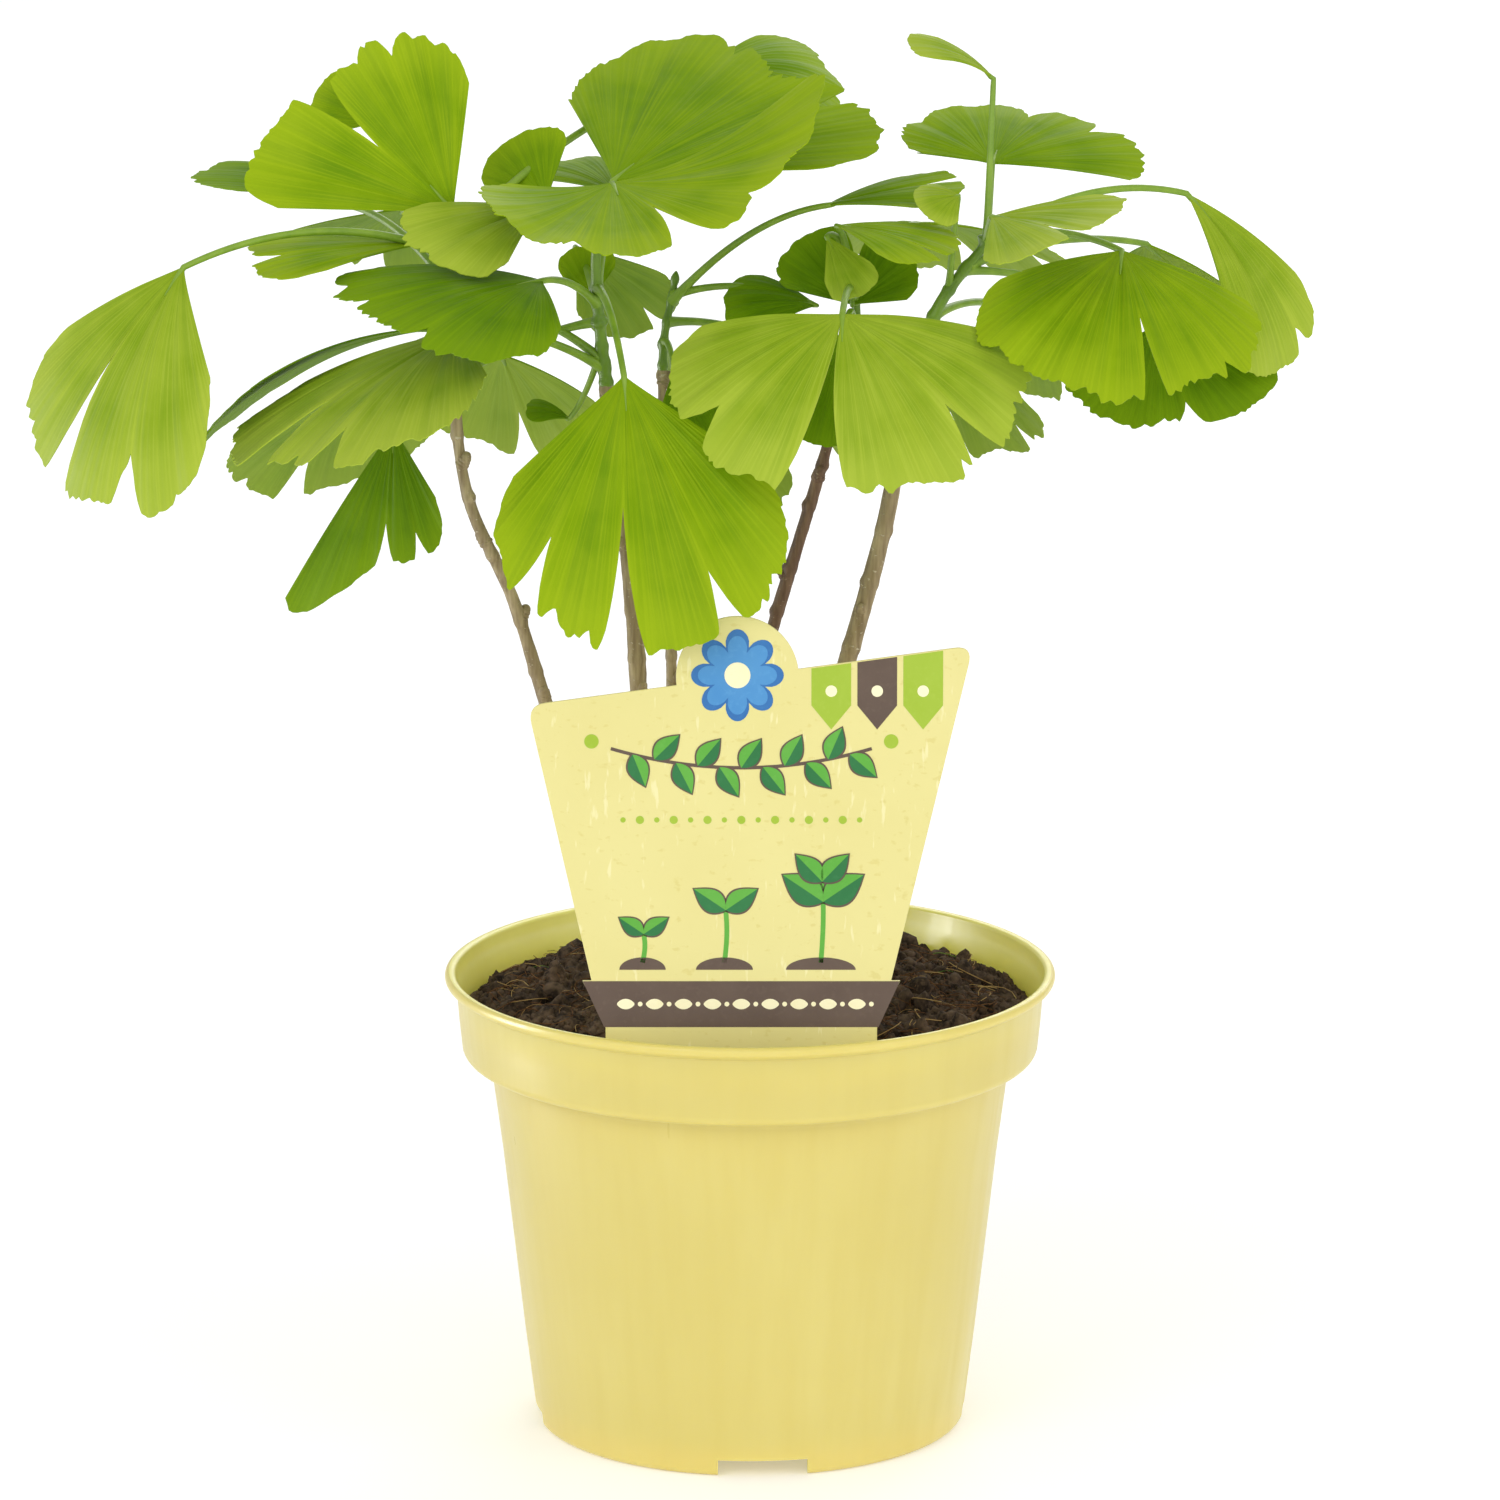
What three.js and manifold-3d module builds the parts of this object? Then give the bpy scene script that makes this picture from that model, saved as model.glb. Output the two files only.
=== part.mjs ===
// A young ginkgo in a nursery pot: five thin woody stems in a plastic pot of peat, each ending in a green
// shoot with long-stalked, fan-shaped leaves, and a die-cut label card stuck in the peat at the front.
// Millimetres, +Z up. The origin is the centre of the pot's underside, and the front faces -Y.
import * as THREE from "three";
import { mergeVertices } from "three/addons/utils/BufferGeometryUtils.js";
import Module from "manifold-3d";

const wasm = await Module();
wasm.setup();

// ---------------------------------------------------------------- pot, peat and card

const CLEARANCE = 0.3; // between neighbouring solids
const SHOOT_GAP = 0.5; // between the middle of a stem's cut tip and its green shoot
const SLIVER = 2e-3; // points nearer than this are one

const POT = {
  height: 99,
  rimRadius: 65,
  lipHeight: 3.4, // the bead round the mouth
  lipInset: 2.2, // how far the collar stands back under it
  collarDepth: 18, // from the rim down to the step
  collarRadius: 61.4, // at the step
  shoulderRadius: 55.2, // just under the step
  footRadius: 46,
  rounding: 2, // of the foot's edge and the step
  wall: 1.5,
  recess: 3.8, // the base stands this high, inside its foot ring
  baseThickness: 1.6,
  footRing: 3, // the ring's width on the ground
  padRadius: 9, // flat pad under the middle
  segments: 40,
  facetTurn: 3.1, // degrees, so that no corner of a facet lies on an axis
};
const NOTCH = { count: 4, width: 19, firstHeading: -86.5 }; // the gaps in the foot ring
const DRAIN = { count: 8, radius: 3, pitchRadius: 27, sides: 8 }; // the holes in the base

const PEAT = {
  plateauHeight: 94.6, // flat middle, where the stems stand
  plateauRadius: 32,
  edgeHeight: 90.5, // at the pot's wall
  lump: 1.2,
  rings: 4, // between the plateau and the wall
};

const CARD = {
  place: new THREE.Vector3(-1.8, -51.4, 100), // the middle of its foot band's lower edge
  leanBack: 6, // degrees
  thickness: 0.8,
  footHalfWidth: 28.2,
  band: { height: 9.9, halfWidth: 33, inset: 1.9 }, // the printed foot band is a little wider than the card
  shoulders: { left: { x: -44.4, y: 67.5 }, right: { x: 48, y: 80 } },
  cornerRadius: 4,
  bump: { x: -0.8, radius: 12.7 }, // the round tab on the top edge
  tongue: { neck: 3, halfWidth: 9, depth: 16 }, // the spike in the peat
};

// ---------------------------------------------------------------- stems

// Each stem is one curve: wood from the peat up to the share `wood` of its length, and green shoot beyond.
// radii: wood at the foot, wood at its tip, shoot at its base, shoot at its tip.
const STEMS = {
  left: {
    path: [[-26, 6, 86], [-32, 4, 120], [-43, -2, 157], [-50, -5, 181], [-59, -8, 203], [-62, -10, 228],
      [-63, -12, 258]],
    wood: 0.86, radii: [1.7, 1.15, 1.1, 0.8], flare: 0.7, spurs: 6,
  },
  centre: {
    path: [[-21.5, -2, 86], [-22.5, -3, 125], [-24, -5, 170], [-27, -7, 203], [-31, -8, 236], [-32, -11, 256],
      [-29.5, -12, 267]],
    wood: 0.78, radii: [2.4, 1.4, 1.35, 0.9], flare: 1, spurs: 6,
  },
  back: {
    path: [[-17, 12, 86], [-16.5, 12, 130], [-17, 12, 180], [-18.5, 12, 226], [-16, 16, 244]],
    wood: 0.89, radii: [1.4, 0.95, 0.95, 0.7], flare: 0.6, spurs: 5,
  },
  mid_right: {
    path: [[-14, 6, 86], [-5, 6, 132], [4, 6, 169], [14, 7, 203], [22, 8, 234], [21, 6, 250]],
    wood: 0.88, radii: [1.65, 1.15, 1.1, 0.8], flare: 0.7, spurs: 5,
  },
  right: {
    path: [[0, 2, 86], [10, 1, 128], [20.5, 0, 166], [28, 0, 194], [37, -2, 237], [50, 0, 257]],
    wood: 0.84, radii: [2.3, 1.6, 1.5, 0.9], flare: 1, spurs: 6,
  },
};
const LIMB = { sides: 6, step: 13, flareLength: 4 }; // facets round a stem, the length between its rings
const SPUR = { length: 3.4, radii: [1.5, 0.7], rise: 55, sides: 4 }; // the short shoots on the wood
const SPURS = { first: 0.32, last: 0.97, swing: 9 }; // their places, as shares of the stem and of its wood
const GOLDEN_ANGLE = 137.5; // degrees from one spur to the next

// ---------------------------------------------------------------- leaves

const LEAF = {
  thickness: 0.8,
  fanStep: 15, // degrees between the points of the margin
  rings: [0.5, 1], // of the way from the apex to the margin
  rounding: 0.22, // how far the fan's two corners are rounded off, as a share of their reach
  tooth: 0.04, // seeded unevenness of the margin, as a share of its reach
  stalkRadii: [0.95, 0.7],
  stalkSides: 3,
  stalkSteps: 4,
  stalkRoot: 2.5, // how far a stalk runs on into the blade
  stalkEnds: [0.01, 0.005], // shares of the stem that stay free of stalks at the shoot's base and tip
};

// from: where the stalk leaves its shoot, 0 at the base and 1 at the tip. rise: how far it arches up.
// apex: where the stalk meets the blade. tip: the end of the blade's middle line. face: the way its upper
// side looks. spread: the fan's angle. sides: the reach of the two corners against the middle's, first the
// one that lies anticlockwise, seen from above. droop and cup: how far the blade bends along and across.
// clefts: place across the fan from -1 to 1, depth as a share of the reach, half width.
const LEAVES = [
  { name: "far_left", stem: "left", from: 0.95, rise: 6, apex: [-117, -25, 255.5], tip: [-137, -38, 206],
    face: [-0.6, -1, 0.5], spread: 88, sides: [0.66, 0.64], droop: 50, cup: 36,
    clefts: [[0.25, 0.55, 0.1], [-0.25, 0.2, 0.08]] },
  { name: "top_left", stem: "left", from: 1, rise: 0, apex: [-61.5, -14, 265], tip: [-88, -8, 295],
    face: [0, -1, 0.3], spread: 96, sides: [1.25, 0.88], droop: 10, cup: 10,
    clefts: [[-0.17, 0.48, 0.12], [0.4, 0.08, 0.06]] },
  { name: "top_left_behind", stem: "left", from: 0.9, rise: 4, apex: [-78, 8, 280], tip: [-91, 12, 287],
    face: [0.3, -1, 0.2], spread: 90, sides: [0.9, 0.9], droop: 20, cup: 20, clefts: [] },
  { name: "left_small", stem: "left", from: 0.9, rise: 0, apex: [-67.5, -12, 258], tip: [-104, -26, 256],
    face: [0, -0.15, 1], spread: 46, sides: [0.95, 0.95], droop: 15, cup: 20, clefts: [[0.1, 0.2, 0.15]] },
  { name: "dark_mid", stem: "centre", from: 0.4, rise: 2, apex: [-43, -27, 253], tip: [-74, -57, 247],
    face: [0.1, -0.25, 1], spread: 116, sides: [0.66, 1], droop: 26, cup: 30,
    clefts: [[-0.1, 0.12, 0.08], [0.4, 0.1, 0.06]] },
  { name: "droplet", stem: "centre", from: 0.8, rise: 2, apex: [-44, -10, 265], tip: [-68, -34, 259],
    face: [-0.3, -0.9, 0.8], spread: 60, sides: [0.9, 0.9], droop: 25, cup: 10, clefts: [] },
  { name: "behind_left", stem: "left", from: 0.97, rise: 4, apex: [-42.5, 2, 264.5], tip: [-51, 14, 276],
    face: [0, -1, 0.3], spread: 90, sides: [0.9, 1], droop: 10, cup: 10, clefts: [] },
  { name: "top_back", stem: "centre", from: 1, rise: 0, apex: [-28.5, -8, 270.5], tip: [8, 39, 291],
    face: [0, -0.3, 1], spread: 104, sides: [0.72, 0.93], droop: 8, cup: 10,
    clefts: [[0.1, 0.16, 0.25], [0.42, 0.2, 0.05]] },
  { name: "top_front", stem: "centre", from: 1, rise: -1, apex: [-28.5, -10.5, 270.5], tip: [-22, -46, 261.5],
    face: [-0.12, -0.25, 1], spread: 190, sides: [1.38, 0.78], droop: 10, cup: -34,
    clefts: [[-0.2, 0.6, 0.12], [-0.5, 0.42, 0.08], [0.25, 0.12, 0.1]] },
  { name: "top_right", stem: "left", from: 1, rise: 6, apex: [-11, 50, 281.5], tip: [21, 54, 277],
    face: [0.2, -0.3, 1], spread: 110, sides: [0.9, 0.9], droop: 70, cup: 20, clefts: [[0, 0.2, 0.1]] },
  { name: "dark_right", stem: "mid_right", from: 1, rise: 0, apex: [21.5, 4, 242], tip: [23, 12, 258.5],
    face: [0, -1, 0.6], spread: 160, sides: [1.05, 0.85], droop: 0, cup: 0, clefts: [[0, 0.5, 0.16]] },
  { name: "flat_right", stem: "back", from: 0.8, rise: 4, apex: [16, 5, 263], tip: [45, 10, 268],
    face: [0, -0.1, 1], spread: 70, sides: [0.9, 0.9], droop: 10, cup: 30, clefts: [[0, 0.4, 0.1]] },
  { name: "flat_low", stem: "mid_right", from: 1, rise: 2, apex: [18, -8, 261], tip: [42, -20, 258],
    face: [0.1, -0.2, 1], spread: 70, sides: [0.9, 0.9], droop: 20, cup: 30, clefts: [[0.2, 0.3, 0.1]] },
  { name: "mid_serrated", stem: "mid_right", from: 1, rise: 3, apex: [16, -4, 258], tip: [23, -12, 247],
    face: [0.2, -1, 0.2], spread: 60, sides: [0.9, 0.9], droop: 10, cup: 20, clefts: [] },
  { name: "young", stem: "right", from: 0.5, rise: 2, apex: [43.5, -6, 267], tip: [34.5, -9, 265.5],
    face: [0, -0.5, 1], spread: 140, sides: [1, 1], droop: 20, cup: 30, clefts: [] },
  { name: "top_right_small", stem: "right", from: 1, rise: 0, apex: [51, 10, 289], tip: [32, 4, 297.5],
    face: [0.3, -0.3, 1], spread: 40, sides: [0.9, 0.9], droop: 50, cup: 20, clefts: [] },
  { name: "umbrella", stem: "right", from: 1, rise: 0, apex: [51, 16, 270], tip: [57, 44, 277],
    face: [0, -0.2, 1], spread: 176, sides: [0.75, 1.3], droop: 20, cup: 28,
    clefts: [[0.1, 0.2, 0.1], [0.5, 0.2, 0.1]] },
  { name: "light_right", stem: "right", from: 1, rise: 1, apex: [50, -22, 265.5], tip: [70, -46, 267],
    face: [-0.1, -0.35, 1], spread: 96, sides: [0.95, 0.95], droop: 10, cup: 20,
    clefts: [[0.1, 0.4, 0.1]] },
  { name: "big_right", stem: "right", from: 1, rise: 3, apex: [77, -20, 258], tip: [74, -50, 232],
    face: [0, -1, 0.8], spread: 150, sides: [0.9, 0.85], droop: 30, cup: 30,
    clefts: [[-0.18, 0.5, 0.05], [-0.55, 0.1, 0.06]] },
  { name: "far_right", stem: "right", from: 1, rise: 5, apex: [93, 8, 265], tip: [114, 8, 227],
    face: [0.8, -0.9, 0.5], spread: 48, sides: [0.9, 0.85], droop: 50, cup: 20, clefts: [[-0.4, 0.1, 0.1]] },
  { name: "low_right", stem: "right", from: 0.7, rise: 3, apex: [86, 14, 236], tip: [88, 2, 216],
    face: [0, -1, 0.6], spread: 130, sides: [1.5, 1.2], droop: 10, cup: 10, clefts: [[-0.2, 0.2, 0.1]] },
  { name: "front_right", stem: "mid_right", from: 0.6, rise: 4, apex: [19, -35, 247.5], tip: [18.5, -59, 213.5],
    face: [0, -1, 0.6], spread: 190, sides: [1.04, 0.96], droop: 44, cup: 34,
    clefts: [[0.09, 0.93, 0.11], [-0.5, 0.3, 0.07], [0.55, 0.2, 0.07]] },
  { name: "behind_front_right", stem: "mid_right", from: 0.2, rise: 4, apex: [20, -10, 239.5],
    tip: [15.5, -18, 215.5], face: [0, -1, 0.3], spread: 90, sides: [0.9, 0.9], droop: 20, cup: 20,
    clefts: [] },
  { name: "cap_right", stem: "back", from: 0.9, rise: 3, apex: [14, 6, 241.5], tip: [-6, 6, 240.5],
    face: [0, -0.6, 1], spread: 76, sides: [0.9, 0.9], droop: 50, cup: 20, clefts: [] },
  { name: "low_centre", stem: "back", from: 0.2, rise: 2, apex: [-16, 2, 229], tip: [-9, -4, 213],
    face: [0.2, -1, 0.2], spread: 80, sides: [0.9, 0.9], droop: 20, cup: 20, clefts: [] },
  { name: "grey_centre", stem: "centre", from: 0.3, rise: 3, apex: [-37, 22, 251], tip: [-20, 30, 231],
    face: [0.3, 1, 0.6], spread: 80, sides: [0.9, 0.9], droop: 20, cup: 20, clefts: [[0.1, 0.2, 0.1]] },
  { name: "behind_centre", stem: "centre", from: 0.3, rise: 0, apex: [-33, 6, 243], tip: [-35, 9, 254],
    face: [0, -1, 0.2], spread: 90, sides: [0.9, 0.9], droop: 10, cup: 10, clefts: [] },
  { name: "tiny", stem: "centre", from: 0.15, rise: -2, apex: [-38, -3, 219], tip: [-47, -4, 221],
    face: [0, -0.6, 1], spread: 60, sides: [0.9, 0.9], droop: 60, cup: 40, clefts: [] },
  { name: "front_centre", stem: "centre", from: 0.5, rise: 4, apex: [-26, -34, 234.5], tip: [-22, -52, 179],
    face: [0, -1, 0.35], spread: 104, sides: [0.8, 0.7], droop: 16, cup: 24,
    clefts: [[0.54, 0.3, 0.08], [0.08, 0.53, 0.1], [-0.37, 0.2, 0.06]] },
  { name: "low_left", stem: "centre", from: 0.02, rise: 3, apex: [-60.5, -22, 241], tip: [-96, -54, 217],
    face: [-0.5, -0.25, 1], spread: 125, sides: [0.72, 0.95], droop: 30, cup: 24,
    clefts: [[0.22, 0.42, 0.09], [-0.2, 0.2, 0.08]] },
  { name: "arc_left", stem: "centre", from: 0.06, rise: 6, apex: [-64, -4, 238.5], tip: [-118, -8, 212.5],
    face: [-0.3, 0.3, 1], spread: 46, sides: [0.8, 0.8], droop: 50, cup: 20, clefts: [] },
  { name: "hanging_left", stem: "centre", from: 0.3, rise: 4, apex: [-75, 4, 216], tip: [-79, 0, 186],
    face: [-0.2, -1, 0.2], spread: 66, sides: [0.95, 1.8], droop: 20, cup: 10,
    clefts: [[0.1, 0.3, 0.12], [-0.4, 0.2, 0.1]] },
];

// The leaves that close the crown's back, one row for each: the heading of its stalk, from +X towards +Y,
// so that 90 points straight back, the stalk's length, how far the apex stands over the stalk's root, the
// slope of the blade below the level, and the blade's length. The rest of each is seeded.
const BACK_LEAVES = {
  left: [[116, 45, -18, 40, 46], [76, 40, -16, 52, 34], [128, 34, 12, -6, 42], [101, 58, 0, 30, 40]],
  centre: [[84, 36, 14, 0, 42]],
  back: [[88, 34, -16, 62, 42], [30, 36, -12, 60, 34], [54, 42, 25, 4, 38]],
  mid_right: [[66, 36, -10, 50, 38], [75, 54, 4, 24, 44]],
  right: [[62, 42, -6, 36, 46], [42, 52, -2, 46, 40]],
};
const BACK_LEAF = {
  seed: 11,
  spread: [95, 125],
  droop: [15, 40],
  cup: [10, 35],
  cleftDepth: [0.3, 0.55],
  room: 4, // the least distance between the sample points of two leaves
};

// ---------------------------------------------------------------- small helpers

const rad = THREE.MathUtils.degToRad;
const lerp = THREE.MathUtils.lerp;
const point = ([x, y, z]) => new THREE.Vector3(x, y, z);

/** A repeatable source of numbers from 0 to 1. */
function seeded(seed) {
  let state = seed;
  return () => {
    state = (state * 16807) % 2147483647;
    return state / 2147483647;
  };
}

/** A direction with its part along `axis` taken away, at unit length. */
function across(direction, axis) {
  return direction.clone().addScaledVector(axis, -direction.dot(axis)).normalize();
}

/** An indexed geometry from points and corner indices. */
function facets(points, triangles) {
  const geometry = new THREE.BufferGeometry();
  geometry.setAttribute("position", new THREE.Float32BufferAttribute(points.flatMap((p) => p.toArray()), 3));
  geometry.setIndex(triangles);
  return geometry;
}

/** A geometry with its shared points merged and the faces that this flattens dropped. */
function welded(geometry, tolerance) {
  const bare = new THREE.BufferGeometry();
  bare.setAttribute("position", geometry.getAttribute("position"));
  bare.setIndex(geometry.getIndex());
  const merged = mergeVertices(bare, tolerance);
  const index = merged.getIndex().array;
  const kept = [];
  for (let i = 0; i < index.length; i += 3) {
    const [a, b, c] = [index[i], index[i + 1], index[i + 2]];
    if (a !== b && b !== c && c !== a) kept.push(a, b, c);
  }
  merged.setIndex(kept);
  return merged;
}

/** A solid to cut and join, from a closed geometry. */
function solidOf(geometry, tolerance = 1e-4) {
  const merged = welded(geometry, tolerance);
  return new wasm.Manifold(new wasm.Mesh({
    numProp: 3,
    vertProperties: Float32Array.from(merged.getAttribute("position").array),
    triVerts: Uint32Array.from(merged.getIndex().array),
  }));
}

/** An indexed geometry from a solid. */
function geometryOf(solid) {
  const mesh = solid.getMesh();
  const geometry = new THREE.BufferGeometry();
  geometry.setAttribute("position", new THREE.Float32BufferAttribute(mesh.vertProperties, 3));
  geometry.setIndex([...mesh.triVerts]);
  return geometry;
}

/** The same solid without slivers, hollows that joining has sealed and loose scraps. */
function cleaned(solid) {
  const bodies = solidOf(geometryOf(solid), SLIVER).decompose();
  return bodies.reduce((a, b) => (a.volume() > b.volume() ? a : b));
}

/** A named mesh of one solid in one plain finish. */
function meshOf(name, solid, color, roughness) {
  const material = new THREE.MeshStandardMaterial({ color, roughness, metalness: 0 });
  const geometry = geometryOf(solid).toNonIndexed();
  geometry.computeVertexNormals();
  const mesh = new THREE.Mesh(geometry, material);
  mesh.name = name;
  return mesh;
}

/** A closed tube through points, with a radius at each, cut square at both ends. */
function tube(points, radii, sides) {
  const ring = [];
  const triangles = [];
  const normal = new THREE.Vector3(0.2, 1, 0.1);
  points.forEach((centre, i) => {
    const ahead = points[Math.min(i + 1, points.length - 1)];
    const tangent = ahead.clone().sub(points[Math.max(i - 1, 0)]).normalize();
    normal.copy(across(normal, tangent));
    const side = tangent.clone().cross(normal);
    for (let k = 0; k < sides; k += 1) {
      const turn = (2 * Math.PI * k) / sides;
      const corner = centre.clone().addScaledVector(normal, radii[i] * Math.cos(turn));
      ring.push(corner.addScaledVector(side, radii[i] * Math.sin(turn)));
    }
  });
  const last = (points.length - 1) * sides;
  for (let k = 0; k < sides; k += 1) {
    const next = (k + 1) % sides;
    for (let base = 0; base < last; base += sides) {
      triangles.push(base + k, base + next, base + sides + next);
      triangles.push(base + k, base + sides + next, base + sides + k);
    }
    if (k > 0 && k < sides - 1) {
      triangles.push(0, next, k);
      triangles.push(last, last + k, last + next);
    }
  }
  return solidOf(facets(ring, triangles));
}

// ---------------------------------------------------------------- pot

/** The radius of the pot's outer wall at a height, without its lip and roundings. */
function potRadius(z) {
  const step = POT.height - POT.collarDepth;
  if (z < step) return lerp(POT.footRadius, POT.shoulderRadius, z / step);
  return lerp(POT.collarRadius, POT.rimRadius - POT.lipInset, (z - step) / POT.collarDepth);
}

/** Points of a quarter turn in a profile, from one angle to another, in degrees. */
function corner(x, y, radius, from, to, steps = 2) {
  return Array.from({ length: steps + 1 }, (_, i) => {
    const angle = rad(lerp(from, to, i / steps));
    return new THREE.Vector2(x + radius * Math.cos(angle), y + radius * Math.sin(angle));
  });
}

/** A profile of radius and height turned about Z, in the pot's facets. */
function lathed(profile) {
  return new THREE.LatheGeometry(profile, POT.segments).rotateX(Math.PI / 2).rotateZ(rad(POT.facetTurn));
}

/** A solid of revolution about Z from a profile of radius and height. */
function turned(profile) {
  const geometry = lathed(profile);
  const solid = solidOf(geometry);
  return solid.volume() > 0 ? solid : solidOf(flipped(geometry));
}

/** The same geometry with its faces turned over. */
function flipped(geometry) {
  const copy = geometry.clone();
  copy.setIndex([...geometry.getIndex().array].reverse());
  return copy;
}

/** The pot: a stepped shell with a rolled lip, a recessed base and a notched foot ring. */
function buildPot() {
  const { height, rimRadius, lipHeight, rounding, wall, recess, baseThickness, footRing, padRadius } = POT;
  const step = height - POT.collarDepth;
  const lip = lipHeight / 2;
  const floor = recess + baseThickness;
  const inner = (z) => potRadius(z) - wall;
  const profile = [
    new THREE.Vector2(0, 0),
    new THREE.Vector2(padRadius, 0),
    new THREE.Vector2(padRadius, recess),
    new THREE.Vector2(POT.footRadius - footRing, recess),
    new THREE.Vector2(POT.footRadius - footRing, 0),
    ...corner(POT.footRadius - rounding, rounding, rounding, -90, 0),
    new THREE.Vector2(potRadius(step - 0.1) - 0.1, step),
    ...corner(POT.collarRadius - rounding, step + rounding, rounding, -90, 0),
    new THREE.Vector2(potRadius(height - lipHeight - 0.6), height - lipHeight - 0.6),
    ...corner(rimRadius - lip, height - lip, lip, -70, 90, 4),
    new THREE.Vector2(inner(height), height - 0.2),
    new THREE.Vector2(inner(step + wall), step + wall),
    new THREE.Vector2(inner(step - 0.1), step - wall / 2),
    new THREE.Vector2(inner(floor), floor),
    new THREE.Vector2(0, floor),
  ];
  let pot = turned(profile);
  for (let i = 0; i < NOTCH.count; i += 1) {
    const cut = new THREE.BoxGeometry(2 * footRing + 4, NOTCH.width, 2 * recess);
    cut.translate(POT.footRadius - footRing / 2, 0, 0);
    cut.rotateZ(rad(NOTCH.firstHeading + (360 / NOTCH.count) * i));
    pot = pot.subtract(solidOf(cut));
  }
  for (let i = 0; i < DRAIN.count; i += 1) {
    const hole = new THREE.CylinderGeometry(DRAIN.radius, DRAIN.radius, 4 * baseThickness, DRAIN.sides);
    hole.rotateX(Math.PI / 2).translate(DRAIN.pitchRadius, 0, recess + baseThickness / 2);
    hole.rotateZ(rad((360 / DRAIN.count) * (i + 0.5)));
    pot = pot.subtract(solidOf(hole));
  }
  return pot;
}

// ---------------------------------------------------------------- peat

/** How far the peat's crumbly top stands over its smooth shape at a place. */
function lumps(x, y) {
  return PEAT.lump * (Math.sin(0.31 * x + 1.7) * Math.sin(0.27 * y + 0.4) + 0.5 * Math.sin(0.55 * x - 0.41 * y));
}

/** The peat's height at a place: a flat plateau, then lumps down to the wall. */
function peatHeight(x, y) {
  const edge = potRadius(PEAT.edgeHeight) - POT.wall - CLEARANCE;
  const out = THREE.MathUtils.clamp((Math.hypot(x, y) - PEAT.plateauRadius) / (edge - PEAT.plateauRadius), 0, 1);
  const smooth = lerp(PEAT.plateauHeight, PEAT.edgeHeight, out * out);
  return smooth + lumps(x, y) * Math.min(3 * out, 1);
}

/** The block of peat: it fills the pot and has the card's slot cut in it. */
function buildPeat() {
  const bottom = POT.recess + POT.baseThickness + CLEARANCE;
  const step = POT.height - POT.collarDepth;
  const inner = (z) => potRadius(z) - POT.wall - CLEARANCE;
  const edge = inner(PEAT.edgeHeight);
  const profile = [
    new THREE.Vector2(0, bottom),
    new THREE.Vector2(inner(bottom), bottom),
    new THREE.Vector2(inner(step - 2), step - 2),
    new THREE.Vector2(inner(step - 2), step + 2.5),
    new THREE.Vector2(inner(step + 2.5), step + 2.5),
  ];
  for (let i = 0; i <= PEAT.rings; i += 1) {
    profile.push(new THREE.Vector2(lerp(edge, PEAT.plateauRadius, i / PEAT.rings), PEAT.plateauHeight));
  }
  profile.push(new THREE.Vector2(0, PEAT.plateauHeight));
  const geometry = lathed(profile);
  const places = geometry.getAttribute("position");
  for (let i = 0; i < places.count; i += 1) {
    if (places.getZ(i) > PEAT.plateauHeight - 0.01) {
      places.setZ(i, peatHeight(places.getX(i), places.getY(i)));
    }
  }
  let peat = solidOf(geometry);
  if (peat.volume() < 0) peat = solidOf(flipped(geometry));
  return peat.subtract(solidOf(cardSlot()));
}

// ---------------------------------------------------------------- label card

/** Puts a flat shape where the card stands, `grow` thicker on both sides. */
function stoodUp(shape, grow) {
  const geometry = new THREE.ExtrudeGeometry(shape, {
    depth: CARD.thickness + 2 * grow, bevelEnabled: false, curveSegments: 10,
  });
  geometry.translate(0, 0, -grow).rotateX(Math.PI / 2 - rad(CARD.leanBack));
  return geometry.translate(CARD.place.x, CARD.place.y, CARD.place.z);
}

/** The hole that the card's spike leaves in the peat. */
function cardSlot() {
  const { neck, halfWidth, depth } = CARD.tongue;
  const top = CARD.footHalfWidth + CLEARANCE;
  const tip = halfWidth + CLEARANCE;
  const shape = new THREE.Shape([
    new THREE.Vector2(-tip, -depth - CLEARANCE),
    new THREE.Vector2(tip, -depth - CLEARANCE),
    new THREE.Vector2(top + 2 * CLEARANCE, -neck),
    new THREE.Vector2(-top - 2 * CLEARANCE, -neck),
  ]);
  return stoodUp(shape, CLEARANCE);
}

/** The card: a board that widens upwards, with a round tab on its slanting top edge and a spike below. */
function buildCard() {
  const { shoulders, cornerRadius, bump, band, tongue, footHalfWidth } = CARD;
  const { left, right } = shoulders;
  const slope = Math.atan2(right.y - left.y, right.x - left.x);
  const edge = (x) => left.y + (x - left.x) * Math.tan(slope);
  const side = band.halfWidth - band.inset;
  const shape = new THREE.Shape();
  shape.moveTo(-tongue.halfWidth, -tongue.depth);
  shape.lineTo(tongue.halfWidth, -tongue.depth);
  shape.lineTo(footHalfWidth, -tongue.neck);
  shape.lineTo(footHalfWidth, 0);
  shape.lineTo(band.halfWidth, band.height);
  shape.lineTo(side, band.height);
  shape.lineTo(right.x - 1, right.y - cornerRadius);
  shape.quadraticCurveTo(right.x, right.y, right.x - cornerRadius, edge(right.x - cornerRadius));
  shape.absarc(bump.x, edge(bump.x), bump.radius, slope, Math.PI + slope, false);
  shape.lineTo(left.x + cornerRadius, edge(left.x + cornerRadius));
  shape.quadraticCurveTo(left.x, left.y, left.x + 1, left.y - cornerRadius);
  shape.lineTo(-side, band.height);
  shape.lineTo(-band.halfWidth, band.height);
  shape.lineTo(-footHalfWidth, 0);
  shape.lineTo(-footHalfWidth, -tongue.neck);
  return solidOf(stoodUp(shape, 0));
}

// ---------------------------------------------------------------- stems

/** The curve of a whole stem, wood and shoot. */
function stemCurve(stem) {
  return new THREE.CatmullRomCurve3(stem.path.map(point), false, "catmullrom", 0.5);
}

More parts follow.
